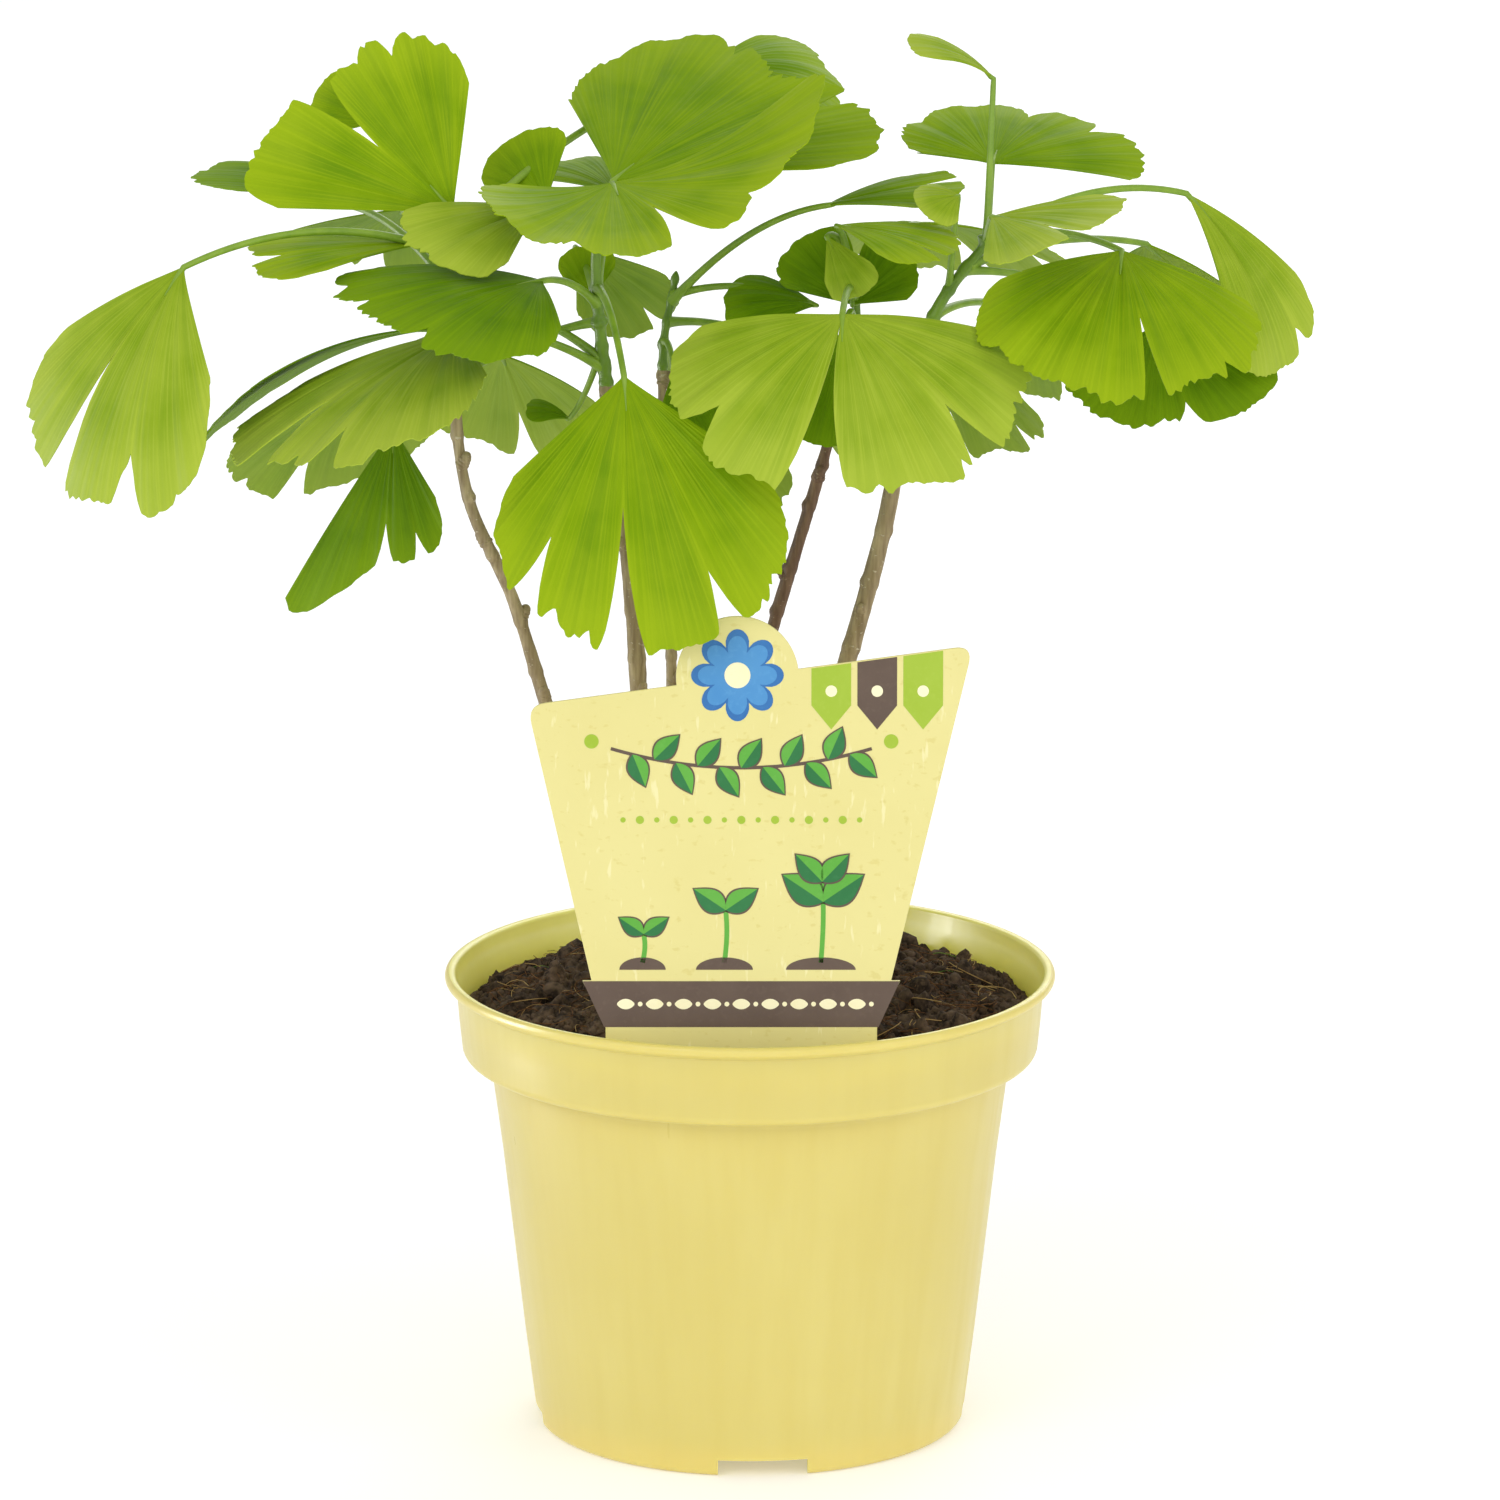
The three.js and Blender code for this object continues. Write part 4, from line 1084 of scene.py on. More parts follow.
@dataclass
class LabelCard:
    """The die-cut card: a board that widens upwards, with a generic printed design of inks laid on it."""

    place: Place = (-1.8, -51.4, 100)
    lean_back: float = 6
    thickness: float = 0.8
    foot_half_width: float = 28.2
    band_height: float = 9.9
    band_half_width: float = 33
    band_inset: float = 1.9
    left: Span = (-44.4, 67.5)
    right: Span = (48, 80)
    corner: float = 4
    bump_x: float = -0.8
    bump_radius: float = 12.7
    neck: float = 3
    spike: Span = (9, 16)
    ink_depth: float = 0.05
    edge_rounding: float = 0.12

    def edge(self, x: float) -> float:
        """The height of the slanting top edge over a place across the card."""
        return self.left[1] + (x - self.left[0]) * self.slope

    @property
    def slope(self) -> float:
        """The slant of the top edge."""
        return (self.right[1] - self.left[1]) / (self.right[0] - self.left[0])

    def bend(self, corner: Span, before: Span, after: Span) -> list[Span]:
        """Points that round a corner off between two places on its edges."""
        shares = np.linspace(0, 1, 9)[:, None]
        a, b, c = (np.array(p, float) for p in (before, corner, after))
        curve = (1 - shares) ** 2 * a + 2 * shares * (1 - shares) * b + shares**2 * c
        return [tuple(p) for p in curve]

    def outline(self) -> list[Span]:
        """The card's outline, anticlockwise from its foot."""
        side = self.band_half_width - self.band_inset
        slant = math.degrees(math.atan(self.slope))
        foot = self.foot_half_width
        band = self.band_half_width
        (lx, ly), (rx, ry) = self.left, self.right
        c = self.corner
        tip, depth = self.spike
        return [
            (-tip, -depth), (tip, -depth), (foot, -self.neck), (foot, 0), (band, self.band_height),
            (side, self.band_height),
            *self.bend(self.right, (rx - 1, ry - c), (rx - c, self.edge(rx - c))),
            *arc((self.bump_x, self.edge(self.bump_x)), self.bump_radius, slant, 180 + slant, 40),
            *self.bend(self.left, (lx + c, self.edge(lx + c)), (lx + 1, ly - c)),
            (-side, self.band_height), (-band, self.band_height), (-foot, 0), (-foot, -self.neck),
        ]

    def stand(self, piece: Piece) -> Piece:
        """Turns a flat piece, made in X and Y with Z forwards, up to where the card stands."""
        tilt = math.pi / 2 - math.radians(self.lean_back)
        co = np.zeros(len(piece.data.vertices) * 3)
        piece.data.vertices.foreach_get("co", co)
        x, y, z = co.reshape(-1, 3).T / MM
        sine, cosine = math.sin(tilt), math.cos(tilt)
        upright = np.column_stack([x, y * cosine - z * sine, y * sine + z * cosine])
        piece.data.vertices.foreach_set("co", ((upright + self.place) * MM).ravel())
        piece.data.update()
        return piece

    def lay(self, shell: Shell, outline: Sequence[Span], level: float) -> None:
        """Adds one closed film of ink with its face at a level over the board."""
        prism(shell, outline, level - 2 * self.ink_depth, level)

    def spot(self, shell: Shell, centre: Span, radius: float, level: float) -> None:
        """Adds a round spot of ink."""
        self.lay(shell, arc(centre, radius, 0, 360, 24)[:-1], level)

    def rosette(self, shell: Shell, centre: Span, radii: Span, petals: int, level: float) -> None:
        """Adds a disc with a scalloped edge, between an inner and an outer radius."""
        turns = np.linspace(0, 2 * np.pi, 12 * petals + 1)[:-1]
        reach = lerp(*radii, np.abs(np.cos(turns * petals / 2)) ** 0.7)
        outline = np.column_stack([np.cos(turns) * reach, np.sin(turns) * reach]) + centre
        self.lay(shell, outline, level)

    def pennant(self, shell: Shell, left: float, right: float, low: float, level: float) -> None:
        """Adds a pointed flag that hangs from the top edge."""
        self.lay(shell, [((left + right) / 2, low), (right, low + 5), (right, self.edge(right) - 0.25),
                         (left, self.edge(left) - 0.25), (left, low + 5)], level)

    def almond(self, shell: dict[str, Shell], root: Span, angle: float, size: float, level: float) -> None:
        """Lays down one pointed leaf of two greens in a dark outline.

        Args:
            shell: The ink shells by colour.
            root: Where it starts.
            angle: Where it points, in degrees from the right.
            size: Its length.
            level: How high the ink stands.
        """
        turn = math.radians(angle)
        along = np.array([math.cos(turn), math.sin(turn)])
        over = np.array([-along[1], along[0]])
        shares = np.linspace(0, 1, 17)
        belly = np.sin(np.pi * shares**0.8)
        rim, wide = 0.25 + 0.015 * size, 0.34 * size

        def half(width: float, length: float, shift: float) -> Array:
            return root + np.outer(shift + shares * length, along) + np.outer(width * belly, over)

        def lens(first: float, second: float, length: float, shift: float) -> list[Array]:
            return [*half(first, length, shift), *half(second, length, shift)[::-1][1:-1]]

        right, left = ("deep_green", "leaf_green") if along[0] >= 0 else ("leaf_green", "deep_green")
        self.lay(shell["brown"], lens(-wide, wide, size + 2 * rim, -rim), level)
        self.lay(shell[right], lens(rim - wide, 0, size, 0), level + self.ink_depth)
        self.lay(shell[left], lens(0.01, wide - rim, size, 0), level + self.ink_depth)

    def stroke(self, shell: Shell, line: Array, width: float, level: float) -> None:
        """Adds an inked line through points that run from left to right or upwards."""
        way = np.gradient(line, axis=0)
        side = np.column_stack([-way[:, 1], way[:, 0]])
        side *= width / 2 / np.linalg.norm(side, axis=1)[:, None]
        self.lay(shell, [*(line - side), *(line + side)[::-1]], level)

    def garland(self, shell: dict[str, Shell], level: float) -> None:
        """Lays down a sprig that hangs in a shallow arc, with leaves on both sides of it."""
        x = np.linspace(-27, 27, 37)
        line = np.column_stack([x, 54.5 + 4 * (x / 27) ** 2])
        self.stroke(shell["brown"], line, 0.7, level)
        for k, (foot, ahead) in enumerate(zip(line[3:-3:3], line[4:-2:3])):
            slant = math.degrees(math.atan2(*(ahead - foot)[::-1]))
            self.almond(shell, foot, slant + (55 if k % 2 else -55), 7.2, level + self.ink_depth)
        for x_end in (-31, 31):
            self.spot(shell["lime"], (x_end, 60), 1.5, level)

    def seedling(self, shell: dict[str, Shell], foot: Span, height: float, pairs: int, level: float) -> None:
        """Lays down a seedling on its mound.

        Args:
            shell: The ink shells by colour.
            foot: The middle of the mound's foot.
            height: The stalk's height.
            pairs: How many pairs of leaves it has.
            level: How high the ink stands.
        """
        self.lay(shell["brown"], arc(foot, (3.5 + 0.22 * height, 2.6), 0, 180, 24), level)
        shares = np.linspace(0, 1, 9)
        stalk = np.column_stack([foot[0] + 0.5 * np.sin(shares * 2.6), foot[1] + 1.5 + shares * height])
        self.stroke(shell["leaf_green"], stalk, 1.0, level)
        for k in range(pairs):
            size = (4 + 0.36 * height) * (1 - 0.22 * k)
            root = stalk[4 + 4 * (k + 1) // pairs] if pairs > 1 else stalk[-1]
            self.almond(shell, root, 34 + 12 * k, size, level + 2 * k * self.ink_depth)
            self.almond(shell, root, 146 - 12 * k, size, level + 2 * k * self.ink_depth)

    def inks(self) -> dict[str, Shell]:
        """The printed design, one shell for each ink."""
        shells = {ink.name: Shell() for ink in INKS}
        level = self.thickness + self.ink_depth
        over = level + self.ink_depth
        brown, cream, lime = shells["brown"], shells["cream"], shells["lime"]
        flower = (self.bump_x, self.edge(self.bump_x) + 0.4)
        self.rosette(shells["blue"], flower, (6.2, 9.6), 8, level)
        self.rosette(shells["sky"], flower, (5.0, 8.2), 8, over)
        self.spot(cream, flower, 2.7, over + self.ink_depth)
        for left, flag in ((14.5, lime), (24, brown), (33.5, lime)):
            self.pennant(flag, left, left + 8.2, 62.5, level)
            self.spot(cream, (left + 4.1, 70.5), 1.2, over)
        self.garland(shells, level)
        for k in range(15):
            self.spot(lime, (-24.5 + 3.5 * k, 43.6), 0.55 + 0.3 * (k % 2), level)
        for foot, height, pairs in ((-20.5, 6, 1), (-3.5, 11, 1), (16.5, 17, 2)):
            self.seedling(shells, (foot, 12.2), height, pairs, level)
        foot, band = self.foot_half_width + 0.3, self.band_half_width - 0.1
        top = self.band_height - 0.1
        self.lay(brown, [(-foot, 0.15), (foot, 0.15), (band, top), (-band, top)], level)
        for k in range(-4, 5):
            seed = [*arc((6 * k, 3.9), (2.2, 2.2), 35, 145, 10), *arc((6 * k, 6.1), (2.2, 2.2), 215, 325, 10)]
            self.lay(cream, seed, over)
            self.spot(cream, (6 * k + 3, 5), 0.5, over)
        return shells

    def build(self, board: Material, inks: dict[str, Material]) -> list[Piece]:
        """Makes the board and its print.

        Args:
            board: The board's finish.
            inks: The ink finishes by name.

        Returns:
            The pieces, the board first.
        """
        shell = Shell()
        prism(shell, self.outline(), 0, self.thickness)
        card = shell.piece("card_board", [board], crease=50)
        soften = card.modifiers.new("cut_edge", "BEVEL")
        soften.width, soften.segments = self.edge_rounding * MM, 2
        settle(card)
        films = [ink.piece("print_" + name, [inks[name]], crease=30) for name, ink in self.inks().items()]
        return [self.stand(piece) for piece in (card, *films)]


# ---------------------------------------------------------------- stems


class Curve:
    """A smooth curve through points, read by its share of the length."""

    DIVISIONS = 200

    def __init__(self, path: Sequence[Place]) -> None:
        """Measures the curve.

        Args:
            path: The points that it runs through.
        """
        self.path = np.array(path, float)
        self.marks = np.linspace(0, 1, self.DIVISIONS + 1)
        steps = np.linalg.norm(np.diff(self.raw(self.marks), axis=0), axis=1)
        self.lengths = np.concatenate([[0], np.cumsum(steps)])

    @property
    def length(self) -> float:
        """The whole length."""
        return float(self.lengths[-1])

    def raw(self, t: Array) -> Array:
        """Places by the curve's own parameter, which runs evenly from point to point."""
        last = len(self.path) - 1
        index = np.minimum((t * last).astype(int), last - 1)
        w = (t * last - index)[:, None]
        ends = 2 * self.path[[0, -1]] - self.path[[1, -2]]
        p = np.concatenate([ends[:1], self.path, ends[1:]])
        a, b, c, d = (p[index + k] for k in range(4))
        out, into = (c - a) / 2, (d - b) / 2
        return b + out * w + (3 * (c - b) - 2 * out - into) * w**2 + (2 * (b - c) + out + into) * w**3

    def at(self, shares: Array | float) -> Array:
        """Places by the share of the length."""
        shares = np.atleast_1d(np.asarray(shares, float))
        return self.raw(np.interp(shares * self.length, self.lengths, self.marks))


@dataclass(frozen=True)
class Stem:
    """One stem: wood up to a share of its length and a green shoot beyond.

    The four radii are those of the wood at its foot and tip and of the shoot at its base and tip.
    """

    name: str
    path: tuple[Place, ...]
    wood: float
    radii: tuple[float, float, float, float]
    flare: float
    spurs: int
    bark: str = "bark"

    FLOOR = 94.9
    SUNK = 4
    FLARE_LENGTH = 4
    SWELL, GRAIN, WAIST = 0.07, 0.045, 0.10
    FIRST_KNOT, KNOT_SPACING = 8.0, (9, 17)
    KNOB, COLLAR, KNOT_LENGTH = (0.22, 0.5), 0.12, 1.1
    SCAR_DEPTH, SCAR_DROP, SCAR_LENGTH = 0.09, 1.2, 0.5
    WOOD_STEP, SHOOT_STEP = 0.6, 0.5
    WOOD_SIDES, SHOOT_SIDES, SPUR_SIDES = 30, 16, 14
    SHOOT_GAP, SHOOT_SUNK = 0.5, 0.8
    SCALES, SEAT, SEAT_LENGTH, END_BUD, RIB = 0.32, 0.28, 0.9, 3.0, 0.05
    SPUR_RINGS, SPUR_LENGTH = 26, 3.6
    SPUR_RISE, SPUR_SWING = 55, 9
    SPUR_SCAR, SPUR_WAVES, SPUR_GRAIN = 0.12, 4.5, 0.06
    SPUR_SPAN, SPUR_RADII = (0.32, 0.97), (1.45, 1.15)
    BUD_START, BUD_RADIUS = 0.68, 1.12
    GOLDEN_ANGLE = 137.5

    def curve(self) -> Curve:
        """The whole stem's middle line."""
        return Curve(self.path)

    @property
    def shoot_start(self) -> float:
        """The share of the length where the green shoot starts."""
        return self.wood + self.SHOOT_GAP / self.curve().length

    def relief(self, run: Array, turn: Array, seed: int) -> Array:
        """How far the bark stands over the plain taper.

        Args:
            run: Distance along the stem, one row for each ring.
            turn: Angle round it, one column for each side.
            seed: The stem's own.

        Returns:
            One height for each ring and side.
        """
        noise = Noise(seed)
        x, y = np.cos(turn), np.sin(turn)
        height = self.SWELL * noise.at(3 * x, 3 * y, run / 9)
        height = height + self.GRAIN * noise.fractal(6 * x, 6 * y, run / 1.6)
        height = height + self.WAIST * noise.at(run / 5.0, 7.0)
        places = np.random.default_rng(seed)
        at = self.SUNK + self.FIRST_KNOT
        while at < run.max():
            heading = places.uniform(0, 2 * np.pi)
            knob = places.uniform(*self.KNOB) * (0.5 + 0.5 * np.cos(turn - heading)) ** 3
            height = height + hump(run - at, self.KNOT_LENGTH) * (self.COLLAR + knob)
            height = height - self.SCAR_DEPTH * hump(run - at + self.SCAR_DROP, self.SCAR_LENGTH)
            at += places.uniform(*self.KNOT_SPACING)
        return height

    def build_wood(self, shell: Shell, seed: int) -> None:
        """Adds the woody part with its bark's relief and its short spurs.

        Args:
            shell: Where it goes.
            seed: The stem's own.
        """
        curve = self.curve()
        foot, top = self.radii[:2]
        start = (self.FLOOR - self.path[0][2]) / curve.length
        first = max(start - self.SUNK / curve.length, 0)
        count = int(curve.length * (self.wood - first) / self.WOOD_STEP)
        shares = np.linspace(first, self.wood, count)
        turn = circle(self.WOOD_SIDES)
        above = np.maximum(shares - start, 0) * curve.length
        radius = lerp(foot, top, shares / self.wood) + self.flare * np.exp(-above / self.FLARE_LENGTH)
        radii = radius[:, None] + self.relief((shares * curve.length)[:, None], turn[None, :], seed)
        tube(shell, curve.at(shares), radii)
        for i in range(self.spurs):
            self.build_spur(shell, curve, i, seed)

    def build_spur(self, shell: Shell, curve: Curve, index: int, seed: int) -> None:
        """Adds one short spur: a stack of leaf scars that ends in a bud."""
        share = lerp(self.SPUR_SPAN[0], self.wood * self.SPUR_SPAN[1], index / (self.spurs - 1))
        heading = math.radians(self.GOLDEN_ANGLE * index + self.SPUR_SWING * self.path[0][0])
        rise = math.radians(self.SPUR_RISE)
        level = math.cos(rise)
        out = np.array([math.cos(heading) * level, math.sin(heading) * level, math.sin(rise)])
        run = np.linspace(0, 1, self.SPUR_RINGS)
        start = self.BUD_START
        scars = 1 + self.SPUR_SCAR * np.abs(np.sin(run * self.SPUR_WAVES * np.pi)) * (run < 0.7)
        bud = self.BUD_RADIUS * np.sqrt(np.clip(1 - ((run - start) / 0.33) ** 2, 0.01, 1))
        body = np.where(run < start, lerp(*self.SPUR_RADII, run / start), bud)
        turn = circle(self.SPUR_SIDES)
        rough = Noise(seed + index).at(2.5 * np.cos(turn), 2.5 * np.sin(turn), run[:, None] * 6)
        radii = (body * scars)[:, None] + self.SPUR_GRAIN * rough
        tube(shell, curve.at(share)[0] + np.outer(run * self.SPUR_LENGTH, out), radii)

    def build_shoot(self, shell: Shell, leaves: "Sequence[Leaf]", seed: int) -> None:
        """Adds the green shoot with a swelling under each stalk, a ring of bud scales and an end bud.

        Args:
            shell: Where it goes.
            leaves: The leaves that grow from it.
            seed: The stem's own.
        """
        curve = self.curve()
        start = self.wood - self.SHOOT_SUNK / curve.length
        count = max(int(curve.length * (1 - start) / self.SHOOT_STEP), 12)
        shares = np.linspace(start, 1, count)
        run = (shares - start) * curve.length
        radius = lerp(self.radii[2], self.radii[3], (shares - start) / (1 - start))
        radius = radius + self.SCALES * hump(run - 1.0, 0.8)
        for leaf in leaves:
            past = (shares - leaf.root_share(self)) * curve.length
            radius = radius + self.SEAT * hump(past, self.SEAT_LENGTH)
        path = curve.at(shares)
        bud = np.linspace(0, 1, 9)[1:]
        path = np.concatenate([path, path[-1] + np.outer(bud * self.END_BUD, unit(path[-1] - path[-2]))])
        full = 1 + 0.5 * np.sin(np.pi * bud)
        radius = np.concatenate([radius, self.radii[3] * full * np.sqrt(1.02 - bud**2)])
        turn = circle(self.SHOOT_SIDES)
        rings = np.arange(len(path))[:, None]
        ribs = Noise(seed + 50).at(2 * np.cos(turn), 2 * np.sin(turn), rings / 9)
        tube(shell, path, radius[:, None] + self.RIB * ribs)


# ---------------------------------------------------------------- leaves


@dataclass(frozen=True)
class BladeFrame:
    """A blade's own frame: its apex, its length and the directions along, across and up."""

    apex: Array
    length: float
    along: Array
    up: Array
    over: Array


@dataclass(frozen=True)
class Leaf:
    """One leaf.

    leave is where its stalk leaves the shoot, from 0 at the base to 1 at the tip, and rise how far it
    arches up. apex is where the stalk meets the blade, tip the end of the blade's middle line and face the
    way its upper side looks. spread is the fan's angle, and sides the reach of its two corners against the
    middle's. droop and cup say how far it bends along and across. A cleft is a place across the fan from
    -1 to 1, a depth as a share of the reach and a half width.
    """

    name: str
    stem: str
    leave: float
    rise: float
    apex: Place
    tip: Place
    face: Place
    spread: float
    sides: Span
    droop: float
    cup: float
    clefts: tuple[Place, ...] = ()
    tone: Tone = Tone.FRESH

    ROUNDING = 0.22
    SHOULDER = 1.35
    ROOT_SPAN = (0.01, 0.005)
    RUN_ON = 2.5

    def frame(self) -> BladeFrame:
        """The blade's own frame."""
        apex = np.array(self.apex, float)
        chord = np.array(self.tip, float) - apex
        half = math.radians(self.droop) / 2
        span = float(np.linalg.norm(chord))
        length = span * half / math.sin(half) if half > 0 else span
        chord = unit(chord)
        lean = across(np.array(self.face, float), chord)
        along = chord * math.cos(half) + lean * math.sin(half)
        up = lean * math.cos(half) - chord * math.sin(half)
        return BladeFrame(apex, length, along, up, np.cross(along, up))

    def reach(self, t: Array) -> Array:
        """How far the blade reaches at places across its fan, as a share of its length."""
        corner = np.where(t < 0, self.sides[0], self.sides[1])
        value = (1 + (corner - 1) * t**2) * (1 - self.ROUNDING * t**8)
        for place, depth, half in self.clefts:
            value = value * (1 - depth * np.maximum(0, 1 - np.abs(t - place) / half) ** self.SHOULDER)
        return value

    def places(self, t: Array, share: Array, lift: Array | float) -> Array:
        """Places on the bent blade.

        Args:
            t: Across the fan, from -1 to 1.
            share: Out from the apex, as a share of the length.
            lift: Height over the middle surface.

        Returns:
            An array with one more axis, of X, Y and Z.
        """
        frame = self.frame()
        theta = math.radians(self.spread / 2) * t
        r = frame.length * share

        def bend(distance: Array, angle: float) -> tuple[Array, Array, Array]:
            turn = math.radians(angle) * distance / frame.length
            sink = distance * turn / 2 * np.sinc(turn / 2 / np.pi) ** 2
            return distance * np.sinc(turn / np.pi), sink, turn

        x, sink_x, turn_x = bend(r * np.sin(theta), self.cup)
        y, sink_y, turn_y = bend(r * np.cos(theta), self.droop)
        over = x + lift * np.sin(turn_x) * np.cos(turn_y)
        along = y + lift * np.cos(turn_x) * np.sin(turn_y)
        up = lift * np.cos(turn_x) * np.cos(turn_y) - sink_x - sink_y
        return frame.apex + sum(np.asarray(c)[..., None] * axis
                                for c, axis in ((over, frame.over), (along, frame.along), (up, frame.up)))

    def root_share(self, stem: Stem) -> float:
        """The share of its stem's length where the stalk starts."""
        return lerp(stem.shoot_start + self.ROOT_SPAN[0], 1 - self.ROOT_SPAN[1], self.leave)

    def arch(self, stem: Stem, steps: int) -> Array:
        """The stalk's middle line, from inside the shoot to the apex."""
        root = stem.curve().at(self.root_share(stem))[0]
        apex = np.array(self.apex, float)
        middle = (root + apex) / 2 + (0, 0, 2 * self.rise)
        s = np.linspace(0, 1, steps + 1)[:, None]
        return (1 - s) ** 2 * root + 2 * s * (1 - s) * middle + s**2 * apex

    def samples(self, stem: Stem) -> Array:
        """Points spread over the leaf, to tell how near it comes to others."""
        run_on = self.places(np.zeros(1), np.array([self.RUN_ON / self.frame().length]), 0.0)
        t, share = np.meshgrid([-1, -0.67, -0.33, 0, 0.33, 0.67, 1], [0.3, 0.53, 0.77, 1], indexing="ij")
        return np.concatenate([self.arch(stem, 4)[2:], run_on, self.places(t.ravel(), share.ravel(), 0.0)])


@dataclass
class Blades:
    """Makes the blades: thin closed fans with toothed, waved margins and soft pleats between the veins.

    The fields that end in run are about how far one lobe, nick or wave is from the next along the margin,
    and pleats is how many broad and narrow ones there are to a radian of the fan. full_relief is the length
    of a blade whose relief has its full height, and how much more a longer one may have.
    """

    thickness: Span = (0.42, 0.24)
    tooth_step: float = 3.3
    tooth: float = 1.5
    tooth_peak: float = 0.7
    fine_tooth: float = 0.28
    lobe: float = 0.055
    lobe_run: float = 10
    nick: float = 0.16
    nick_run: float = 4.2
    pleat: float = 0.75
    pleats: Span = (7, 16)
    vein: float = 0.05
    vein_step: float = 2.2
    wave: float = 2.0
    wave_run: float = 14
    crease: float = 0.45
    crease_width: float = 0.05
    full_size: float = 40
    full_relief: Span = (45, 1.2)
    spacing: float = 0.62
    ring_spacing: float = 2.3
    ring_ease: float = 0.85
    tooth_fade: int = 8
    pinch: Span = (0.12, 0.1)
    map_step: float = 7

    def margin(self, leaf: Leaf, t: Array, noise: Noise) -> tuple[Array, Array]:
        """The blade's reach with its shallow lobes, and the teeth beyond it, as shares of the length."""
        frame = leaf.frame()
        run = t * math.radians(leaf.spread / 2) * frame.length
        size = min(frame.length / self.full_size, 1)
        lobes = np.clip(0.6 - noise.fractal(run / self.lobe_run, 3.5, octaves=2), 0, 1.2)
        ragged = np.clip(noise.at(run / self.nick_run, 33.5) - 0.2, 0, 1) ** 1.5
        reach = leaf.reach(t) * (1 - self.lobe * lobes)
        reach = reach * (1 - self.nick * size * ragged)
        step = run / self.tooth_step + 1.7 * noise.at(run / 7, 9.5)
        saw, peak = step - np.floor(step), self.tooth_peak
        teeth = np.where(saw < peak, (saw / peak) ** 0.6, ((1 - saw) / (1 - peak)) ** 0.8) - peak
        tooth = self.tooth * size / frame.length
        tall = tooth * np.clip(0.4 + 1.4 * noise.at(run / 6, 15.5), 0.06, 1.5)
        fine = self.fine_tooth * tooth * noise.at(run / 0.8, 21.5)
        return reach, (teeth * tall + fine) * np.clip(reach * 2, 0, 1)

    def relief(self, leaf: Leaf, t: Array, share: Array, noise: Noise) -> Array:
        """How far the middle surface stands off the plain bent fan, in millimetres."""
        frame = leaf.frame()
        angle = t * math.radians(leaf.spread / 2)
        run = angle * frame.length
        full, most = self.full_relief
        size = min(frame.length / full, most)
        broad, narrow = self.pleats
        pleats = self.pleat * size * noise.at(angle * broad, 2.5) * share**0.8
        pleats = pleats + 0.5 * self.pleat * size * noise.at(angle * narrow, share * 1.5, 5.5) * share
        veins = self.vein * np.sin(2 * np.pi * (run / self.vein_step + 0.5 * noise.at(run / 7, 1.5)))
        veins = veins * np.clip(share * 3, 0, 1)
        waves = self.wave * size * noise.at(run / self.wave_run, 6.5, share * 1.3) * share**3
        crease = -self.crease * hump(t, self.crease_width) * (1 - share) * np.clip(share * 6, 0, 1)
        return pleats + veins + waves + crease

    def add(self, shell: Shell, leaf: Leaf, index: int, cells: int) -> None:
        """Adds one blade, with its upper side and its underside as two finishes.

        Args:
            shell: Where it goes; finish 2k is the upper side of tone k and 2k + 1 its underside.
            leaf: Which leaf.
            index: Its number in its mass.
            cells: How many cells the baking map has along each side.
        """
        frame = leaf.frame()
        noise = Noise(900 + sum(map(ord, leaf.name)))
        arc_length = frame.length * math.radians(leaf.spread)
        count = int(np.clip(arc_length / self.spacing, 36, 176))
        own = [p + k * half for p, _, half in leaf.clefts for k in (-1, 0, 1)]
        t = np.unique(np.round(np.concatenate([np.linspace(-1, 1, count), own]), 4))
        rings = int(np.clip(frame.length / self.ring_spacing, 7, 26))
        out = (np.arange(1, rings + 1) / rings) ** self.ring_ease
        reach, teeth = self.margin(leaf, t, noise)
        share = out[:, None] * reach + teeth * out[:, None] ** self.tooth_fade
        narrower, near = self.pinch
        across_fan = np.broadcast_to(t, share.shape) * (1 - narrower * np.exp(-share / near))
        lift = self.relief(leaf, across_fan, share, noise)
        half = lerp(*self.thickness, out)[:, None] / 2
        n = len(t)
        theta = math.radians(leaf.spread / 2) * across_fan
        flat = np.dstack([share * np.sin(theta), share * np.cos(theta)]).reshape(-1, 2)
        spread = np.abs(flat).max() * 2.1
        turned = t * math.radians(leaf.spread) / 2 + self.map_step * index
        fan = np.concatenate([[[self.map_step * index, 0]],
                              np.column_stack([np.tile(turned, rings), np.repeat(out, n)])])
        sides = []
        for side, sign in enumerate((1, -1)):
            surface = leaf.places(across_fan, share, lift + sign * half).reshape(-1, 3)
            apex = leaf.places(np.zeros(1), np.zeros(1), sign * self.thickness[0] / 2)
            cell = 2 * index + side
            corner = np.array([cell % cells, cell // cells]) + 0.5
            atlas = (np.concatenate([[[0, 0]], flat]) / spread + corner) / cells
            sides.append((np.concatenate([apex, surface]), atlas))
        points = np.concatenate([sides[0][0], sides[1][0]])
        atlas = np.concatenate([sides[0][1], sides[1][1]])
        under = 1 + n * rings

        def at(ring: int, i: int) -> int:
            return 1 + ring * n + i

